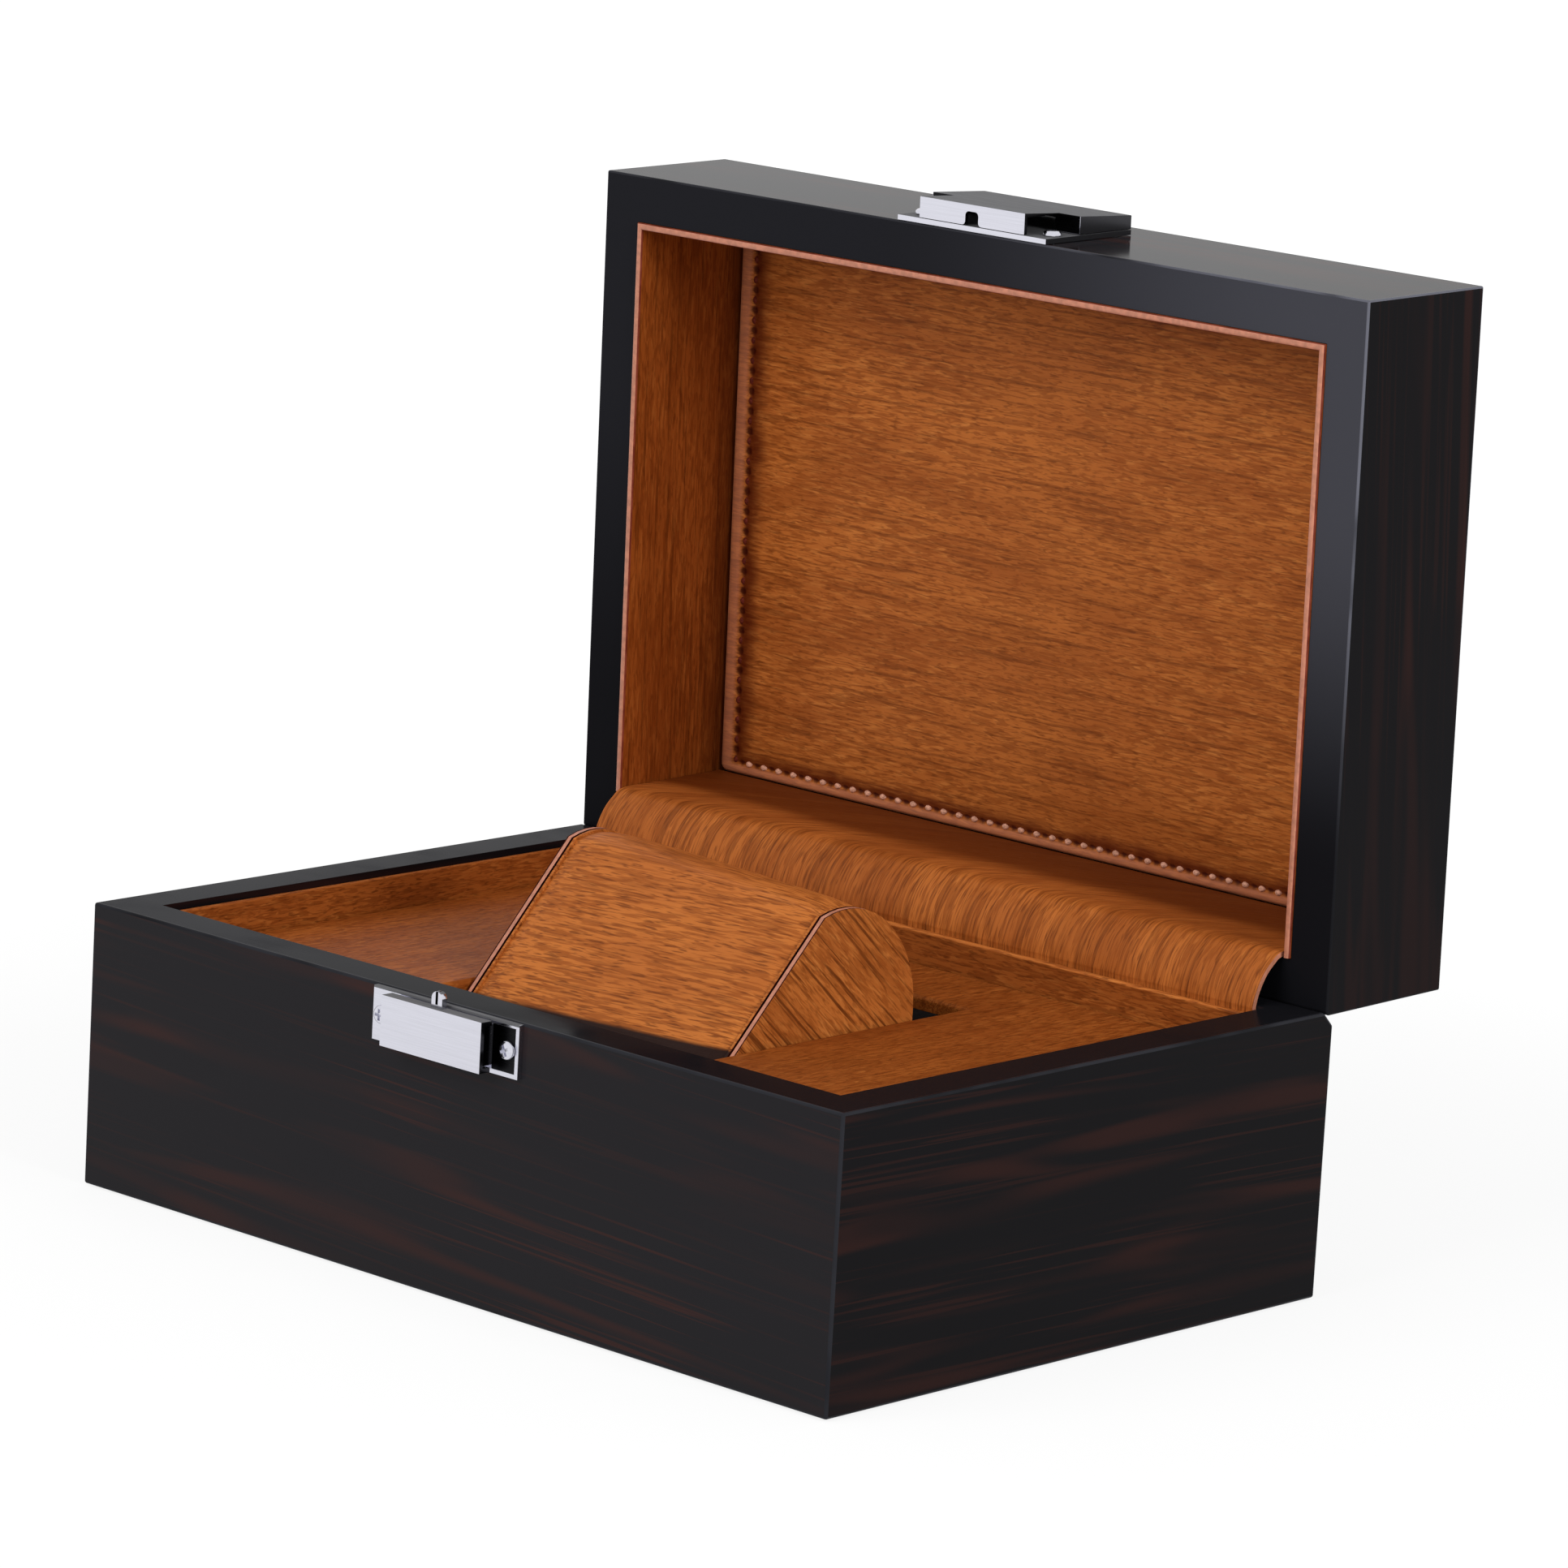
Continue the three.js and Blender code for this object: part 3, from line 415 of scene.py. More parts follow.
def leather(
    name, along, turn=(0, 0, 0), source="Object", flame=0.35, dashes=0.5, lines=0.25,
    tone=1.0, red=1.0, gloss=0.12, stretch=1.0, colour_and_shade=None,
):
    """Leather printed like wood: a broad figure, dense fine strokes, short dashes and long fine lines."""
    material, tree, shader = new_material(name, 0.5, gloss)

    def figure(size, longer=1.0, **more):
        return noise_of(tree, grain_space(tree, along, (size[0] * longer, size[1]), turn, source), **more)

    hue = between(tree, figure(HUE_SIZE, detail=3.0), 0.4, 0.6)
    broad = between(tree, figure(FLAME_SIZE, distortion=0.8), 0.42, 0.68, flame)
    pale = between(tree, figure(PALE_SIZE, stretch, distortion=0.4), 0.50, 0.66, 0.55)
    wavy = figure(WAVY_SIZE, stretch, distortion=0.9 / stretch)
    stroke = between(tree, wavy, 0.46, 0.58, 0.3 + 0.8 * dashes)
    dash = between(tree, figure(DASH_SIZE, stretch, detail=1.0, distortion=0.4), 0.54, 0.70, dashes)
    line = between(tree, figure(LINE_SIZE, detail=3.0, distortion=0.35), 0.52, 0.66, lines)
    colour = mix(tree, hue, shade_of("leather"), shade_of("leather_warm"))
    for share, shade in (
        (pale, "leather_pale"),
        (broad, "leather_deep"),
        (stroke, "leather_deep"),
        (line, "dash"),
        (dash, "dash"),
    ):
        colour = mix(tree, share, colour, shade_of(shade))
    # Painted light and shade: each piece's copy of the print is made brighter or darker, and redder, for
    # how that piece is lit
    colour = mix(tree, 1.0, colour, (tone, tone * red, tone * red * red, 1), "MULTIPLY")
    # Colours laid over the print: the pad's border colour, and painted shade in its holes, in the well, in
    # the lid's corners and on the cover's level part
    if colour_and_shade:
        colour = colour_and_shade(tree, colour)
    tree.links.new(colour, shader.inputs["Base Color"])
    pebble = figure(PEBBLE_SIZE)
    dent = math_of(tree, "ADD", dash, line)
    bump(tree, shader, math_of(tree, "SUBTRACT", pebble, dent), PEBBLE_DEPTH, 0.5)
    rough_by(tree, shader, pebble, 0.42, 0.6)
    return material


def border_and_hole_shade(tree, colour):
    """The pad's border: pinkish outside its stitches, dark red along them and for a little way inside, and
    painted shade in the needle holes.
    """
    inset = value_on_mesh(tree, "inset")
    stitch = bpy.context.scene.case_sizes.stitch_inset
    pink = 0.42
    outside = math_of(
        tree, "SUBTRACT", pink, between(tree, inset, stitch - 0.9 * MM, stitch - 0.2 * MM, pink)
    )
    bordered = mix(tree, outside, colour, shade_of("cut_edge"))
    wavy = noise_of(tree, grain_space(tree, "X", (6 * MM, 6 * MM)))
    reach = math_of(tree, "ADD", product(tree, wavy, -3.0 * MM), inset)
    near = between(tree, inset, stitch - 0.3 * MM, stitch + 0.2 * MM)
    far = math_of(tree, "SUBTRACT", 1.0, between(tree, reach, stitch - 1.2 * MM, stitch + 2.0 * MM))
    shaded = mix(tree, product(tree, product(tree, near, far), 0.85), bordered, BORDER_RED)
    # Painted shade in the needle holes
    return mix(tree, between(tree, value_on_mesh(tree, "hole"), 0.25, 0.75, 0.9), shaded, HOLE_SHADE)


def level_print_and_shade(tree, colour):
    """The hinge cover is darker on its level part, towards the lid's pad: partly its print, partly painted
    shade.
    """
    cloud = noise_of(tree, grain_space(tree, "X", (50 * MM, 20 * MM)), detail=1.0)
    shifted = math_of(tree, "ADD", value_on_mesh(tree, "run"), product(tree, cloud, 0.12))
    return mix(tree, between(tree, shifted, 0.60, 0.76, 0.8), colour, LEVEL_PRINT_AND_SHADE)


def well_painted_shade(tree, colour):
    """The pillow is painted in deep shade where it sinks into its well, more so towards its right end."""
    place = place_of(tree)
    slope = 0.03
    rise = math_of(tree, "SUBTRACT", place["Z"], product(tree, place["X"], slope))
    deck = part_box("deck_board")[1].z
    return mix(tree, between(tree, rise, deck - 1.3 * MM, deck - 0.5 * MM), WELL_SHADE, colour)


def corner_painted_shade(tree, colour):
    """The lid's side liners are painted darker into the corner where they meet the pad: painted shade."""
    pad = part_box("lid_pad")[0].y
    share = between(tree, place_of(tree)["Y"], pad - 6 * MM, pad + 3 * MM, 0.6)
    return mix(tree, share, colour, CORNER_SHADE)


def speckled(name, light, dark, size, roughness, level=0.5, contrast=0.2, relief=0.0, sheen=0.0, **more):
    """Two shades mixed by a fine noise. The dark one is a colour, or a share of the light one."""
    material, tree, shader = new_material(name, roughness, level)
    light = shade_of(light)
    dark = dimmed(light, dark) if isinstance(dark, float) else dark
    speck = noise_of(tree, grain_space(tree, "X", size), **more)
    colour_by(tree, shader, between(tree, speck, 0.5 - contrast, 0.5 + contrast), light, dark)
    shader.inputs["Sheen Weight"].default_value = sheen
    if relief:
        bump(tree, shader, speck, relief)
    return material


def plated(name, colour, roughness, brushed=0.0, share=1.0):
    """Plated or polished metal with the faint lines of its polishing, dimmed to a share."""
    material, tree, shader = new_material(name, roughness)
    shader.inputs["Metallic"].default_value = 1.0
    bright = dimmed(shade_of(colour), share)
    lines = noise_of(tree, grain_space(tree, "X", POLISH_SIZE))
    colour_by(tree, shader, between(tree, lines, 0.3, 0.7), bright, dimmed(bright, 1 - 0.35 * brushed))
    rough_by(tree, shader, lines, roughness * 0.8, roughness * (1.2 + brushed))
    return material


def pressed_board(name, light, dark):
    """Raw fibreboard, card or foam: a fine speckle of pressed fibres."""
    size = (1.6 * MM, 0.7 * MM)
    return speckled(name, light, dark, size, 0.85, relief=0.06 * MM, detail=4.0, noise_roughness=0.7)


LID_GRAIN = lid_turn()

# What makes each material, and with which settings
MATERIALS = {
    "veneer_along_x": (veneer, dict(along="X", turn=degrees(0, 2, 0))),
    # The side boards' veneer is set darker than the front's and the rear's: painted shade on the sides of
    # the base
    "veneer_along_y": (
        veneer, dict(along="Y", turn=degrees(-1.5, 0, 0), tone=0.42, gloss=0.035, seed=3.0, figured=0.7)
    ),
    "lid_veneer_along_x": (veneer, dict(along="X", turn=LID_GRAIN, tone=0.9, gloss=0.012, seed=5.0)),
    # The lid's side boards take the same painted shade
    "lid_veneer_along_y": (
        veneer, dict(along="Y", turn=lid_turn(3), tone=0.42, gloss=0.03, seed=9.0, figured=0.4)
    ),
    "rim_lacquer": (rim_lacquer, dict(lid=False)),
    "lid_rim_lacquer": (rim_lacquer, dict(lid=True)),
    "edge_lacquer": (edge_lacquer, dict(lid=False)),
    "lid_edge_lacquer": (edge_lacquer, dict(lid=True)),
    # One leather print, made brighter or darker and redder piece by piece to stand in for how each piece is
    # lit: painted light and shade
    "leather_along_x": (leather, dict(along="X", tone=0.76, red=0.92)),
    "leather_along_y": (leather, dict(along="Y", tone=0.68, red=0.90)),
    "deck_leather": (leather, dict(along="Y", turn=degrees(0, 0, -4), tone=0.72, red=0.88, gloss=0.05)),
    "pillow_leather": (
        leather,
        dict(
            along="X", turn=degrees(0, 0, 4), flame=0.2, dashes=0.65, lines=0.35, tone=1.15,
            stretch=2.0, colour_and_shade=well_painted_shade,
        ),
    ),
    "cheek_leather": (leather, dict(along="Y", turn=degrees(-42, 0, 0), dashes=0.35, lines=0.8)),
    "pad_leather": (
        leather, dict(along="X", turn=LID_GRAIN, dashes=0.45, lines=0.45, red=0.97, colour_and_shade=border_and_hole_shade)
    ),
    "lid_leather_along_x": (leather, dict(along="X", turn=LID_GRAIN, tone=0.74, red=0.85)),
    "lid_leather_along_y": (
        leather,
        dict(
            along="Y", turn=LID_GRAIN, dashes=0.3, lines=0.45, tone=0.62, red=0.80, gloss=0.06,
            colour_and_shade=corner_painted_shade,
        ),
    ),
    "cover_leather": (
        leather,
        dict(
            along="Y", source="UV", flame=0.5, dashes=0.55, lines=0.5, tone=1.04, red=0.97,
            stretch=1.8, colour_and_shade=level_print_and_shade,
        ),
    ),
    "cut_edge": (speckled, dict(light="cut_edge", dark=0.74, size=(1.2 * MM, 1.2 * MM), roughness=0.42)),
    "edge_fold": (
        speckled,
        dict(
            light=srgb(140, 66, 48), dark=srgb(106, 40, 26), size=(3 * MM, 3 * MM), roughness=0.6,
            level=0.15,
        ),
    ),
    "seam_shadow": (
        speckled,
        dict(
            light=srgb(66, 22, 16), dark=srgb(36, 12, 10), size=(4 * MM, 4 * MM), roughness=0.8,
            level=0.05,
        ),
    ),
    "thread": (
        speckled,
        dict(light="thread", dark=0.6, size=TWIST_SIZE, roughness=0.5, contrast=0.15, detail=1.0),
    ),
    "thread_sunk": (
        speckled,
        dict(
            light=srgb(112, 46, 34), dark=0.6, size=TWIST_SIZE, roughness=0.5, level=0.05,
            contrast=0.15, detail=1.0,
        ),
    ),
    "clasp_metal": (plated, dict(colour="metal", roughness=0.16, brushed=0.15)),
    "clasp_grey": (
        speckled,
        dict(
            light=(0.17, 0.17, 0.1785, 1.0), dark=0.75, size=(10 * MM, 0.25 * MM), roughness=0.35,
            level=0.004,
        ),
    ),
    "clasp_side": (plated, dict(colour="metal", roughness=0.2, brushed=0.3, share=0.07)),
    "clasp_dark": (plated, dict(colour="metal", roughness=0.25, brushed=0.3, share=0.02)),
    "spring_steel": (plated, dict(colour=srgb(176, 178, 182), roughness=0.25)),
    "brass": (plated, dict(colour=srgb(196, 160, 92), roughness=0.28, brushed=0.2)),
    "fibreboard": (pressed_board, dict(light=srgb(150, 124, 88), dark=srgb(116, 92, 62))),
    "black_card": (pressed_board, dict(light=srgb(34, 28, 26), dark=srgb(18, 15, 14))),
    "card": (pressed_board, dict(light=srgb(168, 160, 146), dark=srgb(140, 132, 118))),
    "foam": (pressed_board, dict(light=srgb(214, 206, 190), dark=srgb(190, 182, 164))),
    "felt": (
        speckled,
        dict(
            light=srgb(44, 44, 48), dark=srgb(16, 16, 18), size=(0.5 * MM, 0.4 * MM), roughness=1.0,
            relief=0.2 * MM, sheen=0.3, detail=4.0, noise_roughness=0.8,
        ),
    ),
}


def finish_of(name):
    """A material by name, made the first time that it is asked for."""
    maker, settings = MATERIALS[name]
    return bpy.data.materials.get(name) or maker(name, **settings)


# Modelling helpers

# How near two points have to be to be joined, and how near to a plane a picked edge lies
WELD = 0.002 * MM
ON_PLANE = 0.02 * MM

# From this share of a normal on, a face looks along an axis
FACING = 0.7


def only(*objects):
    """Deselects all and selects these, the first of them active."""
    bpy.ops.object.select_all(action="DESELECT")
    for obj in objects:
        obj.select_set(True)
    bpy.context.view_layer.objects.active = objects[0]


def fix_place(obj):
    """Moves a piece's place, turn and scale into its mesh."""
    only(obj)
    bpy.ops.object.transform_apply(location=True, rotation=True, scale=True)


def add_primitive(kind, name, scale=(1, 1, 1), **settings):
    """A primitive of a kind, under its name, with its place and scale in its mesh."""
    bpy.ops.object.select_all(action="DESELECT")
    getattr(bpy.ops.mesh, f"primitive_{kind}_add")(**settings)
    made = bpy.context.object
    made.name = made.data.name = name
    made.scale = scale
    fix_place(made)
    return made


def add_block(name, low, high):
    """A cube between two corners."""
    return add_primitive("cube", name, high - low, size=1, location=(low + high) / 2)


def add_rod(name, radius, length, centre, axis, sides=48):
    """A cylinder along X, Y or Z."""
    turn = {"X": (0, math.pi / 2, 0), "Y": (math.pi / 2, 0, 0), "Z": (0, 0, 0)}[axis]
    sizes = {"vertices": sides, "radius": radius, "depth": length}
    return add_primitive("cylinder", name, location=centre, rotation=turn, **sizes)


def copy_piece(source, name):
    """A copy of a piece with its own mesh."""
    made = source.copy()
    made.data = source.data.copy()
    made.name = made.data.name = name
    bpy.context.scene.collection.objects.link(made)
    return made


def copy_node(node, name):
    """A copy of a CAD node's mesh, its loose triangles merged into flat faces."""
    made = copy_piece(frame["nodes"][node], name)
    made.parent = None
    for key in list(made.keys()):
        del made[key]
    made.data.materials.clear()
    made.hide_render = made.hide_viewport = False
    edit(made)
    bpy.ops.mesh.select_all(action="SELECT")
    bpy.ops.mesh.remove_doubles(threshold=WELD)
    bpy.ops.mesh.dissolve_limited(angle_limit=math.radians(1))
    leave()
    if made.data.has_custom_normals:
        bpy.ops.mesh.customdata_custom_splitnormals_clear()
    return made


def edit(obj):
    only(obj)
    bpy.ops.object.mode_set(mode="EDIT")


def leave():
    bpy.ops.object.mode_set(mode="OBJECT")


def pick(obj, kind, test):
    """Selects the faces or edges that pass a test, in edit mode. Stops the script if none does."""
    bpy.ops.mesh.select_mode(type={"faces": "FACE", "edges": "EDGE"}[kind])
    bpy.ops.mesh.select_all(action="DESELECT")
    mesh = bmesh.from_edit_mesh(obj.data)
    found = [item for item in getattr(mesh, kind) if test(item)]
    if not found:
        raise RuntimeError(f"{obj.name}: no {kind} to work on")
    for item in found:
        item.select_set(True)
    bmesh.update_edit_mesh(obj.data)


def lies_at(axis, value):
    """A test that all the points of a face or an edge lie at a value on an axis."""
    return lambda item: all(abs(v.co[axis] - value) < ON_PLANE for v in item.verts)


def apply_modifier(obj, kind, **settings):
    only(obj)
    modifier = obj.modifiers.new(kind.title(), kind)
    for key, value in settings.items():
        setattr(modifier, key, value)
    bpy.ops.object.modifier_apply(modifier=modifier.name)


def carve(obj, cutter, operation="DIFFERENCE"):
    """Cuts a piece by another, which is used up."""
    apply_modifier(obj, "BOOLEAN", operation=operation, solver="EXACT", object=cutter)
    bpy.data.objects.remove(cutter)


def ease(obj, width, segments=2, angle=30):
    """Rounds the edges that turn by more than an angle."""
    apply_modifier(
        obj,
        "BEVEL",
        width=width,
        segments=segments,
        limit_method="ANGLE",
        angle_limit=math.radians(angle),
        use_clamp_overlap=True,
    )


def smooth(obj, angle=32):
    """Smooth shading that keeps flat faces flat."""
    only(obj)
    bpy.ops.object.shade_smooth_by_angle(angle=math.radians(angle))
    apply_modifier(obj, "WEIGHTED_NORMAL", keep_sharp=True, weight=90)


def open_up(obj):
    """Turns a piece that was modelled on the shut lid to the open lid."""
    obj.matrix_world = OPENED
    fix_place(obj)


def dress(obj, *materials):
    obj.data.materials.clear()
    for name in materials:
        obj.data.materials.append(finish_of(name))


def lateral(normal):
    """Whether a face looks to the left or to the right."""
    return abs(normal.x) > FACING


def smooth_and_dress(obj, angle, *materials):
    """Smooth shading where a piece turns by less than an angle, and its materials."""
    smooth(obj, angle)
    dress(obj, *materials)


def paint(obj, slot, test):
    """Gives a material slot to the faces that pass a test."""
    for face in obj.data.polygons:
        points = [obj.data.vertices[i].co for i in face.vertices]
        if test(face.normal, points):
            face.material_index = slot


def settle(obj, body, slot, *nodes):
    """Binds a finished piece to its body and hides the CAD nodes that it stands for. The slot is not used.
    """
    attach(obj, body)
    if nodes:
        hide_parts(*nodes)


def split(point, direction, **settings):
    """Cuts all the faces of the piece in edit mode along a plane."""
    bpy.ops.mesh.select_all(action="SELECT")
    bpy.ops.mesh.bisect(plane_co=point, plane_no=direction, **settings)


def round_free_edges(obj, test, width):
    """Rounds the edges that pass a test."""
    edit(obj)
    pick(obj, "edges", test)
    bpy.ops.mesh.bevel(offset=width, segments=4, affect="EDGES")
    leave()


# Case

# How square to an axis a flat face's normal is, and how near to a plane its points lie
FLAT = 0.98
NEAR = 0.1 * MM

# Room round a hinge's leaf, and how far its pocket is open at the rear
LEAF_ROOM = 0.12 * MM
POCKET_REACH = 4 * MM

# How wide the bands are that belong to an outer edge with its painted highlight, a liner's lip, and the
# fold beside the lip, which is painted in shade
EDGE_BAND = 1 * MM
LIP_BAND = 0.6 * MM
FOLD_BAND = 0.55 * MM

# Rounding of felt, deck and lining, and the room round the lining
FELT_EDGE = 0.4 * MM
DECK_EDGE = 0.8 * MM
LINING_EDGE = 0.3 * MM
LINING_ROOM = 0.1 * MM


def eased_blank(name, low, high, rim, rear, chamfer):
    """The whole base or lid as one block, its rear rim edge chamfered and its outer edges eased."""
    blank = add_block(name, low, high)
    edit(blank)
    pick(blank, "edges", lambda e: lies_at(2, rim)(e) and lies_at(1, rear)(e))
    bpy.ops.mesh.bevel(offset=chamfer, segments=1, affect="EDGES")
    bpy.ops.mesh.select_all(action="SELECT")
    width = min(bpy.context.scene.case_sizes.edge_round, 0.6 * chamfer)
    bpy.ops.mesh.bevel(offset=width, segments=3, affect="EDGES", clamp_overlap=True)
    leave()
    return blank


def slice_off(obj, point, direction):
    """Cuts a piece by a plane and closes it; what lies on the direction's side goes."""
    edit(obj)
    split(point, direction, use_fill=True, clear_outer=True)
    leave()


def board_from(blank, name, side, half, inner):
    """One board: the part of the blank outside the inner face and between its two mitres."""
    out = SIDES[side]
    across = Vector((out.y, out.x, 0))
    board = copy_piece(blank, name)
    reach = abs(out.x) * half.x + abs(out.y) * half.y
    width = abs(across.x) * half.x + abs(across.y) * half.y
    depth = abs(out.x) * inner.x + abs(out.y) * inner.y
    slice_off(board, out * depth, -out)
    slice_off(board, out * reach + across * width, across - out)
    slice_off(board, out * reach - across * width, -across - out)
    return board


def hinge_room(board, leaf, plate, shut):
    """Pockets for a hinge's leaf and barrel in a rear board."""
    low, high = plate
    near = low - Vector((LEAF_ROOM, LEAF_ROOM, POCKET_REACH if shut else LEAF_ROOM))
    far = high + Vector((LEAF_ROOM, POCKET_REACH, LEAF_ROOM if shut else POCKET_REACH))
    carve(board, add_block(leaf + "_pocket", near, far))
    middle = Vector(((low.x + high.x) / 2, HINGE.y, HINGE.z))
    radius = high.y - HINGE.y + 2 * LEAF_ROOM
    carve(board, add_rod(leaf + "_barrel_room", radius, high.x - low.x + 2 * LEAF_ROOM, middle, "X"))


class JEWELRYCASE_OT_boards(bpy.types.Operator):
    """Lacquered boards of the base and the lid, and the lid's top panel"""

    bl_idname = "jewelrycase.boards"
    bl_label = "Lacquered boards"

    def execute(self, context):
        sizes = context.scene.case_sizes
        self.make_boards("base", rest_box, sizes.rim_chamfer)
        self.make_boards("lid", shut_box, sizes.lid_chamfer)
        return {"FINISHED"}

    def make_boards(self, body, box, chamfer):
        nodes = {side: f"{body}_{side}_board" for side in SIDES}
        shut = body == "lid"
        low, high = box(*nodes.values())
        rim = low.z if shut else high.z
        blank = eased_blank(body + "_blank", low, high, rim, high.y, chamfer)
        inner = Vector((-box(nodes["left"])[1].x, -box(nodes["front"])[1].y, 0))
        for side, out in SIDES.items():
            board = board_from(blank, f"{body}_{side}_case", side, high, inner)
            if side == "rear":
                for hinge in ("left", "right"):
                    leaf = f"hinge_{hinge}_{body}_leaf"
                    hinge_room(board, leaf, box(leaf), shut)
            smooth(board)
            prefix = "lid_" if shut else ""
            grain = "x" if out.y else "y"
            dress(board, f"{prefix}veneer_along_{grain}", prefix + "rim_lacquer", prefix + "edge_lacquer")
            up = -1 if shut else 1
            # The small faces along the outer edges take the edge lacquer with its painted highlight
            paint(board, 2, lambda n, points: max(abs(k) for k in n) < FLAT and self.outside(points, high))
            paint(board, 1, lambda n, points: n.z * up > FLAT and abs(points[0].z - rim) < NEAR)
            if shut:
                board.data.materials.append(finish_of("lid_veneer_along_x"))
                paint(board, 3, lambda n, points: n.z > FLAT and points[0].z > high.z - NEAR)
                open_up(board)
            settle(board, body, "veneer", nodes[side])
        if shut:
            self.top_panel(blank, inner)
        bpy.data.objects.remove(blank)

    def outside(self, points, high):
        """Whether a face is one of the small ones along the outer edges."""
        return all(abs(p.x) > high.x - EDGE_BAND or abs(p.y) > high.y - EDGE_BAND for p in points)

    def top_panel(self, blank, inner):
        """The lid's top, flush with its boards."""
        panel = copy_piece(blank, "lid_top_veneer")
        for out in SIDES.values():
            slice_off(panel, Vector((out.x * inner.x, out.y * inner.y, 0)), out)
        slice_off(panel, Vector((0, 0, shut_box("lid_top_panel")[0].z)), Vector((0, 0, -1)))
        smooth_and_dress(panel, 32, "lid_veneer_along_x")
        open_up(panel)
        settle(panel, "lid", "veneer", "lid_top_panel")


class JEWELRYCASE_OT_underside(bpy.types.Operator):
    """Floor panel, felt and the hidden boards that carry the deck"""

    bl_idname = "jewelrycase.underside"
    bl_label = "Floor, felt and carcass"

    def execute(self, context):
        low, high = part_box("base_felt_pad")
        pad = add_block("base_felt", low, high)
        ease(pad, FELT_EDGE)
        smooth_and_dress(pad, 32, "felt")
        settle(pad, "base", "felt", "base_felt_pad")
        for node in ("base_floor_panel", "deck_rail_left", "deck_rail_right"):
            dress(frame["nodes"][node], "fibreboard")
        for side in SIDES:
            dress(frame["nodes"][f"well_{side}_wall"], "black_card")
        dress(frame["nodes"]["lid_pad_card"], "card")
        return {"FINISHED"}


# Leather pieces

# Millimetres inwards from a cheek's outside: its fold, its seam and the wrap's end, with some slack
FOLD_START = 0.12
FOLD_END = 0.25
FOLD_MIDDLE = 0.2
SEAM_START = 1.0
SEAM_END = 1.5
WRAP_END = 1.45
SLACK = 0.01
SEAM_SUNK = 0.4 * MM

# Below the deck's top: where the pillow's lean starts, and where its swelling starts and is full
LEAN_START = 20 * MM
SWELL_START = 8 * MM
SWELL_FULL = 2 * MM

# How much the wrap swells at its seams and further in, and its ripple
SEAM_SWELL = 0.14 * MM
FULL_SWELL = 0.24 * MM
SWELL_RUN = 7 * MM
RIPPLE_HEIGHT = 0.10 * MM
RIPPLE_LENGTH = 8 * MM
RIPPLE_RUN = 3 * MM

# The pad's relief: rolled edge, border, groove with needle holes, crown
ROLL = 0.55 * MM
BORDER_HEIGHT = 0.15 * MM
BORDER_WIDTH = 1.1 * MM
GROOVE_DEPTH = 0.22 * MM
GROOVE_WIDTH = 0.6 * MM
HOLE_DEPTH = 0.33 * MM
HOLE_WIDTH = 0.55 * MM
CROWN_HEIGHT = 0.55 * MM
CROWN_RUN = 11 * MM
PAD_GRID = 0.62 * MM
PAD_CORNER = 1.5 * MM
PAD_UNEVEN = 0.05 * MM
PAD_UNEVEN_LENGTH = 9 * MM

# A stitch: its width and height, the drop of its ends, its slant, and how deep the rows lie
BEAD_WIDTH = 1.15 * MM
BEAD_HEIGHT = 0.85 * MM
BEAD_DROP = 0.22 * MM
STITCH_SLANT = 4
ROW_DEPTH = 0.05 * MM
SIDE_ROW_DEPTH = 0.28 * MM

# The hinge cover: its leather's middle behind the CAD cover's front, its wave, and its shoulder's place
COVER_MIDDLE = 0.45 * MM
COVER_WAVE = 0.2 * MM
COVER_WAVE_LENGTH = 16 * MM
SHOULDER_SHARE = 0.42

# Shares of the way from the base's rim to the lid's, backwards and upwards, that the cover's bend passes
BEND_SHARES = ((0.1, 0.28), (0.32, 0.6), (0.62, 0.84))

# How far the pad's edge and the cover's end lie before the pad's back, and the pad's gap to the cover
PAD_EDGE = 1.0 * MM
PAD_GAP = 0.02 * MM

# How far the print runs sideways over the level part of the cover
PRINT_SKEW = 40 * MM


def waver(point, size, seed):
    """A smooth random value around zero at a point."""
    return noise.noise(point / size + Vector((seed, seed * 0.7, -seed)))


def covered_card(name, low, high, free, face):
    """A card covered in leather, its free edge folded round. The face is the side that shows."""
    thickness = min(high.x - low.x, high.y - low.y)
    radius = min(bpy.context.scene.case_sizes.leather_round, 0.45 * thickness)
    card = add_block(name, low, high)

    def along_the_lip(edge):
        line = (edge.verts[0].co - edge.verts[1].co).normalized()
        return lies_at(2, free)(edge) and abs(line.dot(face)) < 0.1

    round_free_edges(card, along_the_lip, radius)
    return card


class JEWELRYCASE_OT_base_liners(bpy.types.Operator):
    """Leather-covered liners on the inner walls of the base"""

    bl_idname = "jewelrycase.base_liners"
    bl_label = "Base liners"

    def execute(self, context):
        for side, out in SIDES.items():
            node = f"base_{side}_liner"
            low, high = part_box(node)
            card = covered_card(f"base_{side}_lining", low, high, high.z, -out)
            smooth_and_dress(card, 40, "leather_along_x" if out.y else "leather_along_y")
            # The rear liner's top band takes the brighter pillow leather: a painted highlight along its top
            # edge
            if side == "rear":
                card.data.materials.append(finish_of("pillow_leather"))
                paint(card, 1, lambda n, points: min(p.z for p in points) > high.z - LIP_BAND)
            settle(card, "base", "leather", node)
        return {"FINISHED"}


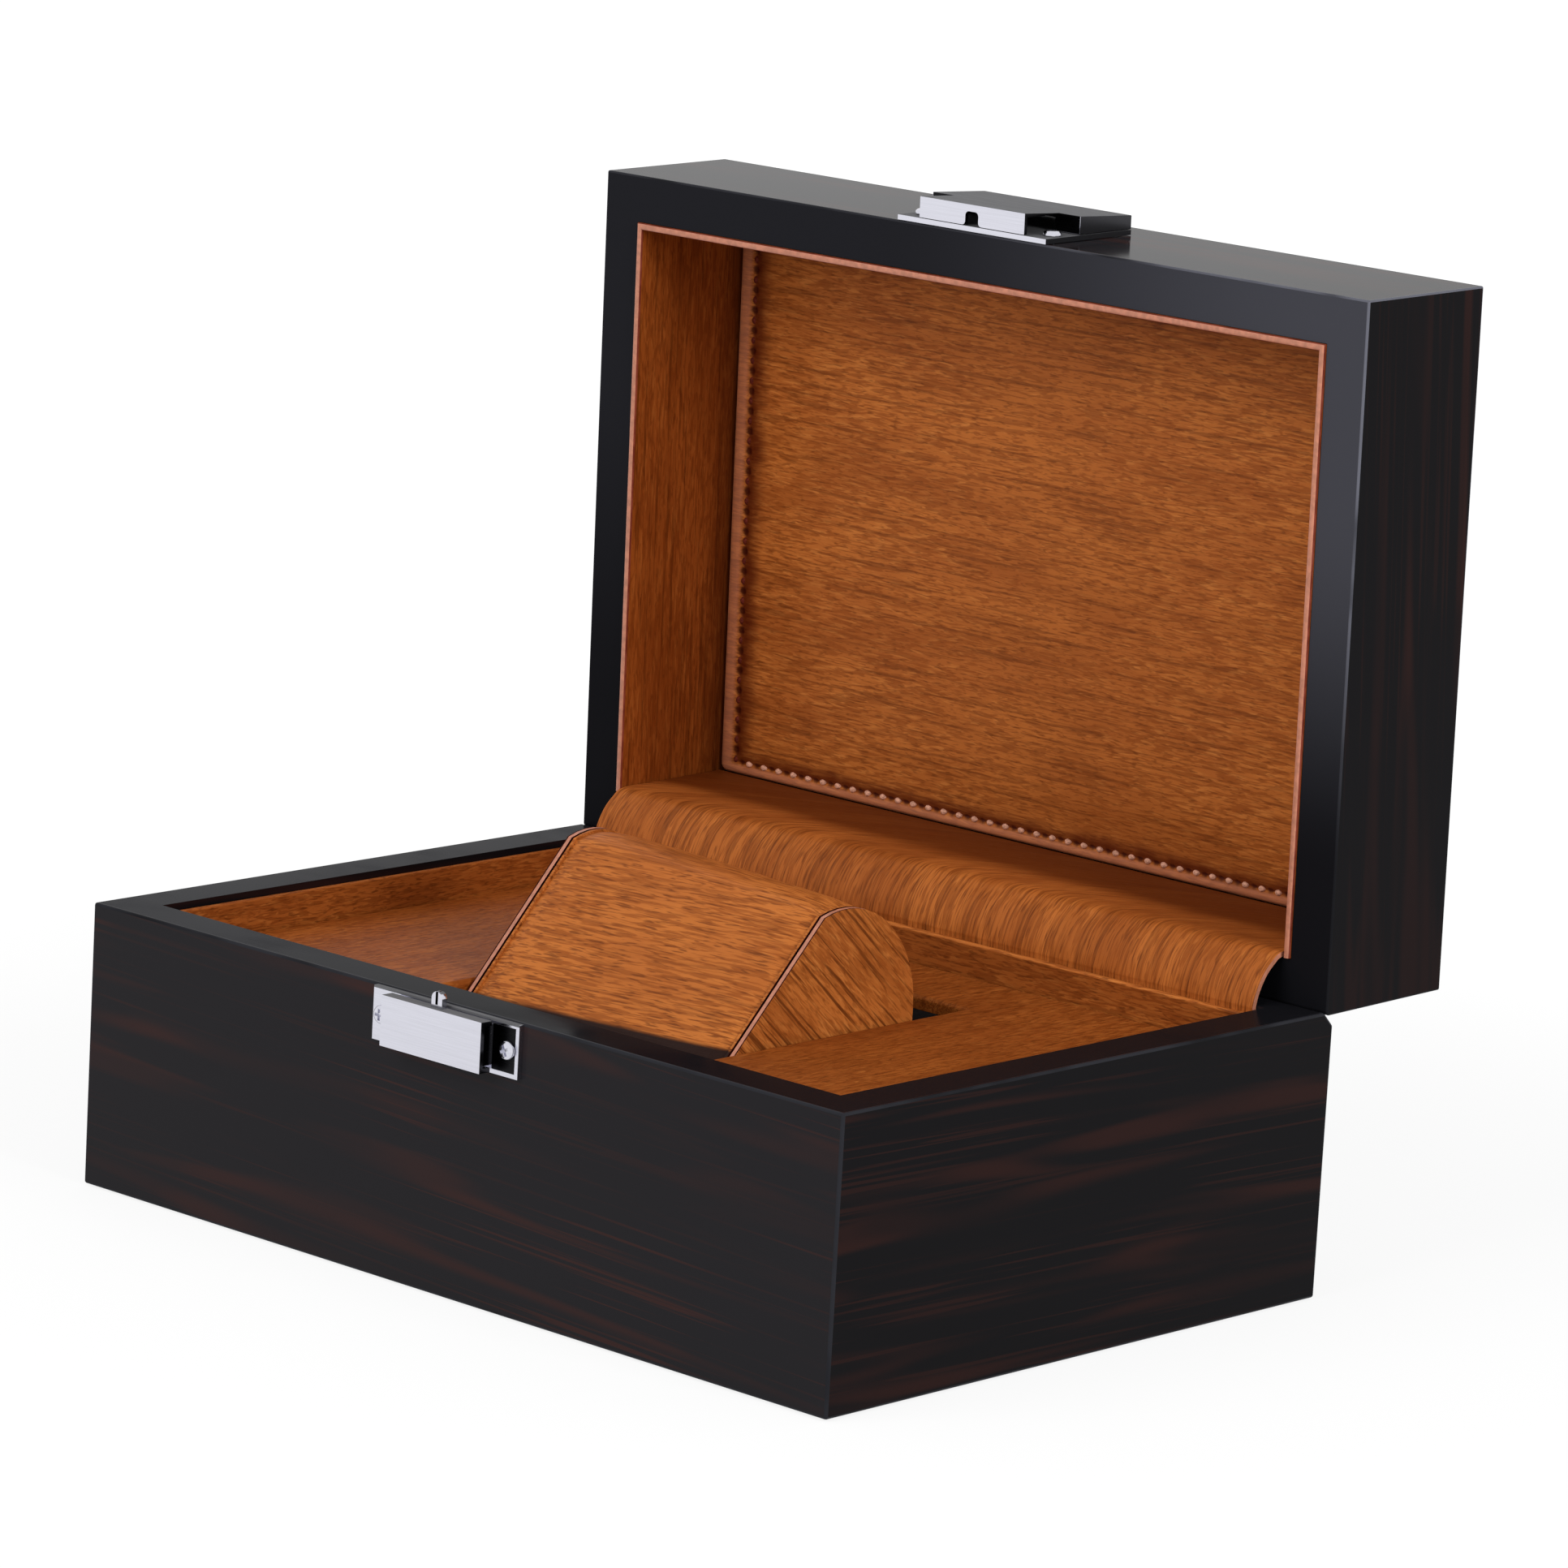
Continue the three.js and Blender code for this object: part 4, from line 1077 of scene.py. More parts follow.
class JEWELRYCASE_OT_lid_liners(bpy.types.Operator):
    """Leather-covered liners of the lid, mitred at the corners, with the light lip round its opening"""

    bl_idname = "jewelrycase.lid_liners"
    bl_label = "Lid liners"

    def execute(self, context):
        front_low, front_high = shut_box("lid_front_liner")
        for side in ("front", "left", "right"):
            node = f"lid_{side}_liner"
            out = SIDES[side]
            low, high = shut_box(node)
            if side != "front":
                low.y = front_low.y
            card = covered_card(f"lid_{side}_lining", low, high, low.z, -out)
            self.mitre(card, side, front_low, front_high)
            smooth(card, 40)
            along = "x" if out.y else "y"
            dress(card, "lid_leather_along_" + along, "cut_edge", "edge_fold")
            # A band along the lip is darker and redder: painted shade on the fold beside the lip
            paint(card, 2, lambda n, points: max(p.z for p in points) < low.z + FOLD_BAND)
            paint(card, 1, lambda n, points: n.z < -0.8)
            open_up(card)
            settle(card, "lid", "leather", node)
        return {"FINISHED"}

    def mitre(self, card, side, low, high):
        """Cuts a liner on the planes through the lid's two front corners."""
        for sign in (-1, 1):
            if side in ("left", "right") and sign != SIDES[side].x:
                continue
            corner = Vector((sign * high.x, low.y, 0))
            away = Vector((sign, 1, 0)) if side == "front" else Vector((-sign, -1, 0))
            slice_off(card, corner, away)


class JEWELRYCASE_OT_deck(bpy.types.Operator):
    """Leather-covered deck with the well's opening, and the well's lining"""

    bl_idname = "jewelrycase.deck"
    bl_label = "Deck and well"

    def execute(self, context):
        low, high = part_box("deck_board")
        lining_low, lining_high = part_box("well_floor_lining")
        deck = add_block("deck_leather", low, high)
        well = add_block(
            "well_cutter",
            Vector((lining_low.x - LINING_ROOM, lining_low.y - LINING_ROOM, low.z - high.z)),
            Vector((lining_high.x + LINING_ROOM, lining_high.y + LINING_ROOM, 2 * high.z)),
        )
        carve(deck, well)
        sharp = 1
        round_free_edges(deck, lambda e: lies_at(2, high.z)(e) and e.calc_face_angle(0) > sharp, DECK_EDGE)
        smooth_and_dress(deck, 40, "deck_leather")
        settle(deck, "base", "leather", "deck_board")
        lining = add_block("well_lining", lining_low, lining_high)
        ease(lining, LINING_EDGE)
        smooth_and_dress(lining, 32, "leather_along_x")
        settle(lining, "base", "leather", "well_floor_lining")
        return {"FINISHED"}


class JEWELRYCASE_OT_pillow(bpy.types.Operator):
    """Bracelet pillow: a padded wrap, its foam core and two covered cheeks with painted edges"""

    bl_idname = "jewelrycase.pillow"
    bl_label = "Pillow"

    def execute(self, context):
        self.make_wrap()
        self.make_cheeks()
        core = copy_node("pillow_core", "pillow_foam")
        self.lean(core)
        dress(core, "foam")
        settle(core, "base", "foam", "pillow_core")
        return {"FINISHED"}

    def lean(self, piece):
        """Sets the front of the soft pillow back above its well, and fills out the top of its left end."""
        sizes = bpy.context.scene.case_sizes
        low, high = rest_box("pillow_wrap", "pillow_cheek_left", "pillow_cheek_right")
        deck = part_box("deck_board")[1].z
        for vertex in piece.data.vertices:
            above = ease_in(vertex.co.z, deck - LEAN_START, deck)
            front = 1 - ease_in(vertex.co.y, 0.6 * low.y + 0.4 * high.y, high.y)
            leftwards = (high.x - vertex.co.x) / (high.x - low.x)
            top = ease_in(vertex.co.z, (deck + high.z) / 2, high.z) * leftwards
            vertex.co.y += (sizes.pillow_back * above + 0.6 * sizes.pillow_lift * top) * front
            vertex.co.z += sizes.pillow_lift * top

    def make_wrap(self):
        """The CAD wrap, swollen between its seams, its ends laid over the cheeks' rims."""
        wrap = copy_node("pillow_wrap", "pillow_wrap_leather")
        half_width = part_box("pillow_wrap")[1].x
        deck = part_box("deck_board")[1].z
        reach = rest_box("pillow_cheek_left", "pillow_cheek_right")[1].x - WRAP_END * MM
        for vertex in wrap.data.vertices:
            vertex.co.x *= reach / half_width
        columns = 48
        edit(wrap)
        for k in range(1, columns):
            split((reach * (2 * k / columns - 1), 0, 0), (1, 0, 0))
        leave()
        normals = [v.normal.copy() for v in wrap.data.vertices]
        for vertex, normal in zip(wrap.data.vertices, normals):
            seam = reach - abs(vertex.co.x)
            risen = ease_in(vertex.co.z, deck - SWELL_START, deck - SWELL_FULL)
            swell = SEAM_SWELL + FULL_SWELL * (1 - math.exp(-seam / SWELL_RUN))
            ripple = RIPPLE_HEIGHT * waver(vertex.co, RIPPLE_LENGTH, 2) * min(1.0, seam / RIPPLE_RUN)
            if normal.x ** 2 < 0.5:
                vertex.co += normal * (swell + ripple) * risen
        self.lean(wrap)
        smooth_and_dress(wrap, 50, "pillow_leather")
        settle(wrap, "base", "leather", "pillow_wrap")

    def make_cheeks(self):
        """Covered cheeks whose rim shows a light painted edge beside a sunk seam that is painted in shadow.
        """
        for sign, side in ((-1, "left"), (1, "right")):
            node = "pillow_cheek_" + side
            low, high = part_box(node)
            outer = high.x if sign > 0 else low.x
            cheek = copy_node(node, node + "_leather")
            edit(cheek)
            for away in (FOLD_START, FOLD_END, SEAM_START, SEAM_END):
                split((outer - sign * away * MM, 0, 0), (1, 0, 0))

            def depth(points):
                """How far a face's middle lies behind the cheek's outside, in millimetres."""
                return sign * (outer - sum(p.x for p in points) / len(points)) / MM

            def in_seam(face):
                level = abs(face.normal.x) < 0.3
                return level and SEAM_START < depth([v.co for v in face.verts]) < SEAM_END

            pick(cheek, "faces", in_seam)
            bpy.ops.mesh.extrude_region_shrink_fatten(TRANSFORM_OT_shrink_fatten={"value": -SEAM_SUNK})
            leave()
            dress(cheek, "cheek_leather", "cut_edge", "seam_shadow", "pillow_leather")
            before, after, wall = SEAM_START - SLACK, SEAM_START + SLACK, SEAM_END + SLACK
            paint(cheek, 1, lambda n, points: not lateral(n) and FOLD_MIDDLE < depth(points) < after)
            paint(cheek, 2, lambda n, points: not lateral(n) and depth(points) < FOLD_MIDDLE)
            paint(cheek, 2, lambda n, points: before < depth(points) < wall)
            paint(cheek, 3, lambda n, points: not lateral(n) and depth(points) > wall)
            self.lean(cheek)
            smooth(cheek, 40)
            settle(cheek, "base", "leather", node)


def ease_in(value, start, end):
    """A smooth share from zero at the start to one at the end."""
    share = min(1.0, max(0.0, (value - start) / (end - start)))
    return share * share * (3 - 2 * share)


def stitch_hole(inset, along, sizes):
    """How deep a point lies in the row of needle holes, from nought to one."""
    away = (inset - sizes.stitch_inset) / HOLE_WIDTH
    hole = 0.5 - 0.5 * math.cos(2 * math.pi * along / sizes.stitch_pitch)
    return hole ** 1.5 * math.exp(-away * away)


def pad_height(inset, along, sizes):
    """How far the pad's face stands above its edge, by the distance from the edge and along it."""
    stitch = sizes.stitch_inset
    turned = max(0.0, 1 - inset / ROLL)
    edge = ROLL * (1 - math.sqrt(max(0.0, 1 - turned ** 2)))
    row = GROOVE_DEPTH * math.exp(-(((inset - stitch) / GROOVE_WIDTH) ** 2))
    groove = row + HOLE_DEPTH * stitch_hole(inset, along, sizes)
    border = BORDER_HEIGHT * math.exp(-(((inset - stitch / 2) / BORDER_WIDTH) ** 2))
    crown = CROWN_HEIGHT * ease_in(inset, stitch, stitch + CROWN_RUN)
    return border + crown - edge - groove


class JEWELRYCASE_OT_lid_pad(bpy.types.Operator):
    """Padded panel inside the lid, with its border and its line of stitches"""

    bl_idname = "jewelrycase.lid_pad"
    bl_label = "Lid pad"

    def execute(self, context):
        sizes = context.scene.case_sizes
        low, high = shut_box("lid_pad")
        high.y = shut_box("lid_rear_board")[0].y - self.cover_room()
        centre = Vector(((low.x + high.x) / 2, (low.y + high.y) / 2, high.z - PAD_EDGE))
        half = Vector(((high.x - low.x) / 2, (high.y - low.y) / 2, 0))
        pad = self.make_face(centre, half, high.z, sizes)
        open_up(pad)
        settle(pad, "lid", "leather", "lid_pad")
        stitches = self.make_stitches(centre, half, sizes)
        open_up(stitches)
        settle(stitches, "lid", "leather")
        return {"FINISHED"}

    def cover_room(self):
        """Room that the hinge cover takes on the lid's rear wall, and the pad's gap to it."""
        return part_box("base_rear_board")[0].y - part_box("hinge_cover")[0].y + PAD_GAP

    def make_face(self, centre, half, back, sizes):
        """The pad's face as a fine grid, pressed into shape, and closed at its back."""
        grid = {f"{axis}_subdivisions": round(2 * getattr(half, axis) / PAD_GRID) for axis in "xy"}
        pad = add_primitive("grid", "lid_pad_leather", (half.x, half.y, 1), size=2, location=centre, **grid)
        for name in ("inset", "hole"):
            pad.data.attributes.new(name, "FLOAT", "POINT")
        for index, vertex in enumerate(pad.data.vertices):
            inset, along = self.round_corner(vertex.co, centre, half)
            pad.data.attributes["inset"].data[index].value = inset
            pad.data.attributes["hole"].data[index].value = stitch_hole(inset, along, sizes)
            settled = min(1.0, inset / sizes.stitch_inset)
            unevenness = PAD_UNEVEN * waver(vertex.co, PAD_UNEVEN_LENGTH, 3) * settled
            vertex.co.z = centre.z - pad_height(inset, along, sizes) - unevenness
        edit(pad)
        bpy.ops.mesh.select_mode(type="EDGE")
        bpy.ops.mesh.select_all(action="DESELECT")
        bpy.ops.mesh.select_non_manifold()
        bpy.ops.mesh.extrude_region_move()
        flat_at = (centre.x, centre.y, back)
        bpy.ops.transform.resize(value=(1, 1, 0), center_override=flat_at, orient_type="GLOBAL")
        bpy.ops.mesh.edge_face_add()
        bpy.ops.mesh.select_all(action="SELECT")
        bpy.ops.mesh.normals_make_consistent(inside=False)
        leave()
        only(pad)
        bpy.ops.object.shade_smooth_by_angle(angle=math.radians(50))
        dress(pad, "pad_leather")
        return pad

    def round_corner(self, point, centre, half):
        """Pulls a point of the grid into the pad's rounded outline. Gives its inset and its place along."""
        sizes = bpy.context.scene.case_sizes
        radius = PAD_CORNER
        offset = point - centre
        gap_x, gap_y = half.x - abs(offset.x), half.y - abs(offset.y)
        side_gap = gap_x * sizes.stitch_inset / sizes.side_inset
        along = offset.y if side_gap < gap_y else offset.x
        if max(gap_x, gap_y) < radius:
            a, b = (radius - gap_x) / radius, (radius - gap_y) / radius
            pull = max(a, b) / max(1e-6, math.hypot(a, b))
            point.x = centre.x + math.copysign(half.x - radius + a * pull * radius, offset.x)
            point.y = centre.y + math.copysign(half.y - radius + b * pull * radius, offset.y)
        return min(side_gap, gap_y), along

    def make_stitches(self, centre, half, sizes):
        """One bead of thread, copied round the pad at the stitch pitch. Those at the sides lie deeper and
        take a darker thread, as painted shade.
        """
        bead = self.make_bead(sizes)
        reach_x, reach_y = half.x - sizes.side_inset, half.y - sizes.stitch_inset
        places = []
        for sideways, reach, across in ((False, reach_x, reach_y), (True, reach_y, reach_x)):
            count = int(reach / sizes.stitch_pitch)
            for k in range(-count, count + 1):
                along = k * sizes.stitch_pitch
                places += [(sideways, along, across), (sideways, along, -across)]
        pieces = []
        for sideways, along, across in places:
            x, y = (across, along) if sideways else (along, across)
            turn = Matrix.Rotation(math.radians(STITCH_SLANT + 90 * sideways), 4, "Z")
            depth = SIDE_ROW_DEPTH if sideways else ROW_DEPTH
            piece = copy_piece(bead, "stitch")
            dress(piece, "thread", "thread_sunk")
            paint(piece, int(sideways), lambda n, points: True)
            piece.matrix_world = Matrix.Translation((centre.x + x, centre.y + y, centre.z + depth)) @ turn
            pieces.append(piece)
        bpy.data.objects.remove(bead)
        only(*pieces)
        bpy.ops.object.join()
        stitches = bpy.context.object
        stitches.name = stitches.data.name = "lid_pad_stitches"
        bpy.ops.object.transform_apply(location=True, rotation=True, scale=True)
        bpy.ops.object.shade_smooth()
        return stitches

    def make_bead(self, sizes):
        """A short plump length of thread, its ends drawn down into the leather."""
        scale = (sizes.stitch_length, BEAD_WIDTH, BEAD_HEIGHT)
        bead = add_primitive("uv_sphere", "bead", scale, segments=10, ring_count=6, radius=0.5)
        for vertex in bead.data.vertices:
            end = abs(vertex.co.x) / (0.5 * sizes.stitch_length)
            vertex.co.y *= 1.0 - 0.25 * end * end
            vertex.co.z += BEAD_DROP * end * end
        return bead


def curve_through(points, steps):
    """Points along a smooth curve through the given ones, in Y and Z."""
    padded = [points[0] * 2 - points[1], *points, points[-1] * 2 - points[-2]]
    made = []
    for i in range(1, len(padded) - 2):
        p0, p1, p2, p3 = padded[i - 1 : i + 3]
        for k in range(steps):
            t = k / steps
            a = 2 * p1 + (p2 - p0) * t
            b = (2 * p0 - 5 * p1 + 4 * p2 - p3) * t * t
            c = (3 * p1 - p0 - 3 * p2 + p3) * t * t * t
            made.append((a + b + c) / 2)
    made.append(points[-1])
    return made


class JEWELRYCASE_OT_hinge_cover(bpy.types.Operator):
    """Leather sheet that runs from behind the base's rear liner, over both rims, to the lid's pad"""

    bl_idname = "jewelrycase.hinge_cover"
    bl_label = "Hinge cover"

    def execute(self, context):
        sizes = context.scene.case_sizes
        low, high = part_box("hinge_cover")
        width = high.x - low.x
        knots, start = self.knots(low)
        line = curve_through(knots, 6)
        lengths = [0.0]
        for first, second in zip(line, line[1:]):
            lengths.append(lengths[-1] + (second - first).length)
        cover = self.make_sheet(line, lengths, width)
        dress(cover, "cover_leather", "cut_edge")
        apply_modifier(cover, "SOLIDIFY", thickness=sizes.cover_thickness, offset=0, material_offset_rim=1)
        only(cover)
        bpy.ops.object.shade_smooth_by_angle(angle=math.radians(50))
        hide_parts("hinge_cover")
        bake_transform(cover)
        return {"FINISHED"}

    def knots(self, low):
        """The run of the cover in Y and Z, and where it reaches the lid's rim."""
        ride = low.y + COVER_MIDDLE
        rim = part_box("base_rear_board")[1].z
        liner_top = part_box("base_rear_liner")[1].z
        lid_low, lid_high = shut_box("lid_rear_board")
        pad_back = shut_box("lid_pad")[1].z

        def on_lid(z):
            point = OPENED @ Vector((0, ride, z))
            return Vector((point.y, point.z))

        start = on_lid(lid_low.z)
        bend = [
            Vector((ride + y_share * (start.x - ride), rim + z_share * (start.y - rim)))
            for y_share, z_share in BEND_SHARES
        ]
        standing = [Vector((ride, z)) for z in (low.z, liner_top, rim)]
        run = on_lid(lid_low.z + 0.25 * (lid_high.z - lid_low.z))
        return [*standing, *bend, start, run, on_lid(pad_back - PAD_EDGE)], start

    def make_sheet(self, line, lengths, width):
        """A grid laid on the run, gently waved, whose map follows the print over the shoulder."""
        rows = len(line) - 1
        grid = {"x_subdivisions": 120, "y_subdivisions": rows, "calc_uvs": True}
        cover = add_primitive("grid", "hinge_cover_leather", size=1, **grid)
        row_of = [round((v.co.y + 0.5) * rows) for v in cover.data.vertices]
        for vertex, row in zip(cover.data.vertices, row_of):
            x = vertex.co.x * width
            ahead = line[min(row + 1, rows)] - line[max(row - 1, 0)]
            out = Vector((ahead.y, -ahead.x)).normalized()
            free = math.sin(math.pi * row / rows) ** 1.5
            wave = COVER_WAVE * waver(Vector((x, lengths[row], 0)), COVER_WAVE_LENGTH, 5) * free
            vertex.co = Vector((x, line[row].x + out.x * wave, line[row].y + out.y * wave))
        runs = cover.data.attributes.new("run", "FLOAT", "POINT")
        for index, row in enumerate(row_of):
            runs.data[index].value = lengths[row] / lengths[-1]
        shoulder = SHOULDER_SHARE * lengths[-1]
        for loop in cover.data.loops:
            run = lengths[row_of[loop.vertex_index]]
            past = max(0.0, run - shoulder) / (lengths[-1] - shoulder)
            x = cover.data.vertices[loop.vertex_index].co.x
            cover.data.uv_layers[0].data[loop.index].uv = (x - PRINT_SKEW * past ** 1.5, run)
        return cover


# Clasp and hinges

# How far before a face its surroundings are tested, and the bands of the plate and the hood's sides that
# take a painted reflection
LOOK_AHEAD = 0.25 * MM
PLATE_BAND = 0.2 * MM
SIDE_BAND = 0.3 * MM
SLOT_HALF = 1.6 * MM
SLOT_CORNER = 0.75 * MM

# A screw's head, as shares of its radius: its rise, the shank's inset, the cross's width and reach
RISE_SHARE = 0.5
SHANK_INSET_SHARE = 0.55
CROSS_WIDTH_SHARE = 0.16
CROSS_REACH_SHARE = 0.6

# And as shares of its rise: its dome, and the height of the cross's floor
DOME_SHARE = 0.8
CROSS_FLOOR_SHARE = 0.35

# The right ear's black field, a painted dark reflection: its frame, the plate's thickness, its overlap,
# rise, depth and hole's radius
EAR_FRAME = 0.8 * MM
EAR_PLATE = 1.0 * MM
EAR_OVERLAP = 0.6 * MM
EAR_PROUD = 0.04 * MM
EAR_BACK = 0.2 * MM
EAR_HOLE = 0.8 * MM


def metal_copy(node, name, body, width):
    """A clasp solid with polished edges. Its faces are painted by the way they face with the case open: a
    grey painted reflection on top, dark painted reflection and shade on the sides and inside.
    """
    piece = copy_node(node, name)
    shut = body == "lid"
    low, high = shut_box(node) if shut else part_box(node)
    if node == "clasp_lid_hood":
        round_slot(piece)
    ease(piece, width, 2, 40)
    cover_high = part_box("clasp_push_cover")[1]
    if node == "clasp_base_plate":
        edit(piece)
        split((0, 0, cover_high.z - PLATE_BAND), (0, 0, 1))
        leave()
    smooth_and_dress(piece, 35, "clasp_metal", "clasp_grey", "clasp_dark", "clasp_side")

    def inside(normal, points):
        middle = sum(points, Vector()) / len(points) + normal * LOOK_AHEAD
        middle = SHUT @ middle if shut else middle
        sloping = shut and normal.z > FACING
        return not sloping and all(low[k] < middle[k] < high[k] for k in range(3))

    # Painted reflection and shade: tops take a grey, faces at the sides and inside the piece a near black,
    # the outer ends of the sides a dim metal
    paint(piece, 1, lambda n, points: n.z > FACING)
    if node == "clasp_base_plate":
        above = cover_high.z - SIDE_BAND
        paint(piece, 1, lambda n, points: n.y < -FACING and min(p.z for p in points) > above)
        paint(piece, 2, lambda n, points: lateral(n) and min(abs(p.x) for p in points) < cover_high.x)
    elif node != "clasp_catch_pin":
        paint(piece, 2, lambda n, points: lateral(n) or inside(n, points))
        rim = high.x - SIDE_BAND
        paint(piece, 3, lambda n, points: lateral(n) and max(abs(p.x) for p in points) > rim)
    settle(piece, body, "clasp", node)


def round_slot(hood):
    """Rounds the corners of the slot for the catch pin."""
    edit(hood)

    def slot_corner(edge):
        line = SHUT.to_3x3() @ (edge.verts[0].co - edge.verts[1].co).normalized()
        return abs(line.z) > 0.99 and all(abs(v.co.x) < SLOT_HALF for v in edge.verts)

    pick(hood, "edges", slot_corner)
    bpy.ops.mesh.bevel(offset=SLOT_CORNER, segments=5, affect="EDGES")
    leave()


def make_screw(name, centre, radius, rise, length, matrix, spin):
    """A round-headed screw with a crossed recess, its head towards +Z before it is placed."""
    head = add_rod(name, radius, rise, Vector((0, 0, rise / 2)), "Z", 32)
    edit(head)
    pick(head, "faces", lambda f: f.normal.z > 0.9)
    bpy.ops.mesh.bevel(offset=rise * DOME_SHARE, segments=4, affect="EDGES")
    pick(head, "faces", lambda f: f.normal.z < -0.9)
    bpy.ops.mesh.inset(thickness=radius * SHANK_INSET_SHARE)
    bpy.ops.mesh.extrude_region_move(TRANSFORM_OT_translate={"value": (0, 0, -length)})
    leave()
    half_slot = CROSS_WIDTH_SHARE * radius
    for turn in (0, math.pi / 2):
        reach = Vector((CROSS_REACH_SHARE * radius, half_slot, 2 * rise))
        blade = add_block("blade", Vector((-reach.x, -half_slot, CROSS_FLOOR_SHARE * rise)), reach)
        blade.rotation_euler = (0, 0, turn + spin)
        fix_place(blade)
        carve(head, blade)
    smooth(head, 35)
    head.matrix_world = Matrix.Translation(centre) @ matrix
    fix_place(head)
    return head


class JEWELRYCASE_OT_clasp(bpy.types.Operator):
    """Push clasp: plates, push cover, split catch pin, springs, hood and screws"""

    bl_idname = "jewelrycase.clasp"
    bl_label = "Clasp"

    def execute(self, context):
        edge = context.scene.case_sizes.metal_round
        for node, body in (
            ("clasp_base_plate", "base"),
            ("clasp_push_cover", "clasp_button"),
            ("clasp_catch_pin", "clasp_button"),
            ("clasp_lid_plate", "lid"),
            ("clasp_lid_hood", "lid"),
        ):
            metal_copy(node, node + "_plated", body, edge)
        turn = Matrix.Rotation(math.pi / 2, 4, "X")
        for side in ("left", "right"):
            self.spring("clasp_spring_" + side)
            self.screw("clasp_base_screw_" + side, "base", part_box, turn, False)
            self.screw("clasp_lid_screw_" + side, "lid", shut_box, turn, True)
        self.recess()
        return {"FINISHED"}

    def spring(self, node):
        """A return spring of the clasp, copied from its CAD node in spring steel."""
        coil = copy_node(node, node + "_wire")
        smooth_and_dress(coil, 50, "spring_steel")
        settle(coil, "base", "spring_steel", node)
        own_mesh(coil)

    def recess(self):
        """A black field inside the bright frame of the base plate's right ear, beside the cover: a painted
        dark reflection.
        """
        plate_low, plate_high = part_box("clasp_base_plate")
        cover_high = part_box("clasp_push_cover")[1]
        screw_low, screw_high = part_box("clasp_base_screw_right")
        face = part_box("base_front_board")[0].y - EAR_PLATE
        low = Vector((cover_high.x - EAR_OVERLAP, face - EAR_PROUD, plate_low.z + EAR_FRAME))
        high = Vector((plate_high.x - EAR_FRAME, face + EAR_BACK, plate_high.z - EAR_FRAME))
        field = add_block("clasp_ear_field", low, high)
        hole = add_rod("hole", EAR_HOLE, 4 * MM, (screw_low + screw_high) / 2, "Y", 24)
        carve(field, hole)
        smooth_and_dress(field, 32, "clasp_dark")
        settle(field, "base", "clasp")

    def screw(self, node, body, box, turn, shut):
        low, high = box(node)
        radius = (high.x - low.x) / 2
        rise = radius * RISE_SHARE
        seat = Vector(((low.x + high.x) / 2, low.y + rise, (low.z + high.z) / 2))
        spin = math.radians(25 if seat.x > 0 else 0)
        piece = make_screw(node + "_head", seat, radius, rise, high.y - seat.y, turn, spin)
        if shut:
            open_up(piece)
        dress(piece, "clasp_metal")
        settle(piece, body, "clasp", node)


class JEWELRYCASE_OT_hinges(bpy.types.Operator):
    """Two small hinges under the cover, with their pins and screws"""

    bl_idname = "jewelrycase.hinges"
    bl_label = "Hinges"

    def execute(self, context):
        for side in ("left", "right"):
            for body in ("base", "lid"):
                self.brass(f"hinge_{side}_{body}_leaf", body, 35)
            dress(frame["nodes"][f"hinge_{side}_pin"], "spring_steel")
        for number in range(1, 5):
            for body in ("base", "lid"):
                self.brass(f"hinge_{body}_screw_{number}", body, 50)
        return {"FINISHED"}

    def brass(self, node, body, angle):
        """A CAD piece in brass, smooth where it turns by less than an angle."""
        piece = copy_node(node, node + "_brass")
        smooth_and_dress(piece, angle, "brass")
        settle(piece, body, "brass", node)


# Stage

CAMERA_AZIMUTH = math.radians(43.224)
CAMERA_ELEVATION = math.radians(15.176)
CAMERA_DISTANCE = 1.298525
CAMERA_PAN = math.radians(-0.536)
CAMERA_TILT = math.radians(-3.572)
CAMERA_ROLL = math.radians(3.186)
CAMERA_LENS = 169.975
CAMERA_SENSOR = 36.0

# Name, degrees round and up, distance and size in metres, power in watts
LAMPS = (
    ("front_lamp", -6, 34, 1.15, 0.8, 5.6),
    ("right_lamp", 86, 22, 1.2, 0.4, 6.5),
)
LAMP_TARGET = Vector((0, 0, 60 * MM))

# The floor shades softly round the case and fades to plain white between two distances in metres
FLOOR_GREY = (0.82, 0.82, 0.82, 1)
FLOOR_GLOW = 1.08
FLOOR_SHADE_SHARE = 0.2
FADE_START = 0.14
FADE_END = 0.5
SURROUND_LIGHT = 0.45
WHITE = (1, 1, 1, 1)


def towards(azimuth, elevation):
    """Unit vector from the case to a place round it; azimuth 0 is in front, 90 on its right."""
    return Vector(
        (
            math.sin(azimuth) * math.cos(elevation),
            -math.cos(azimuth) * math.cos(elevation),
            math.sin(elevation),
        )
    )


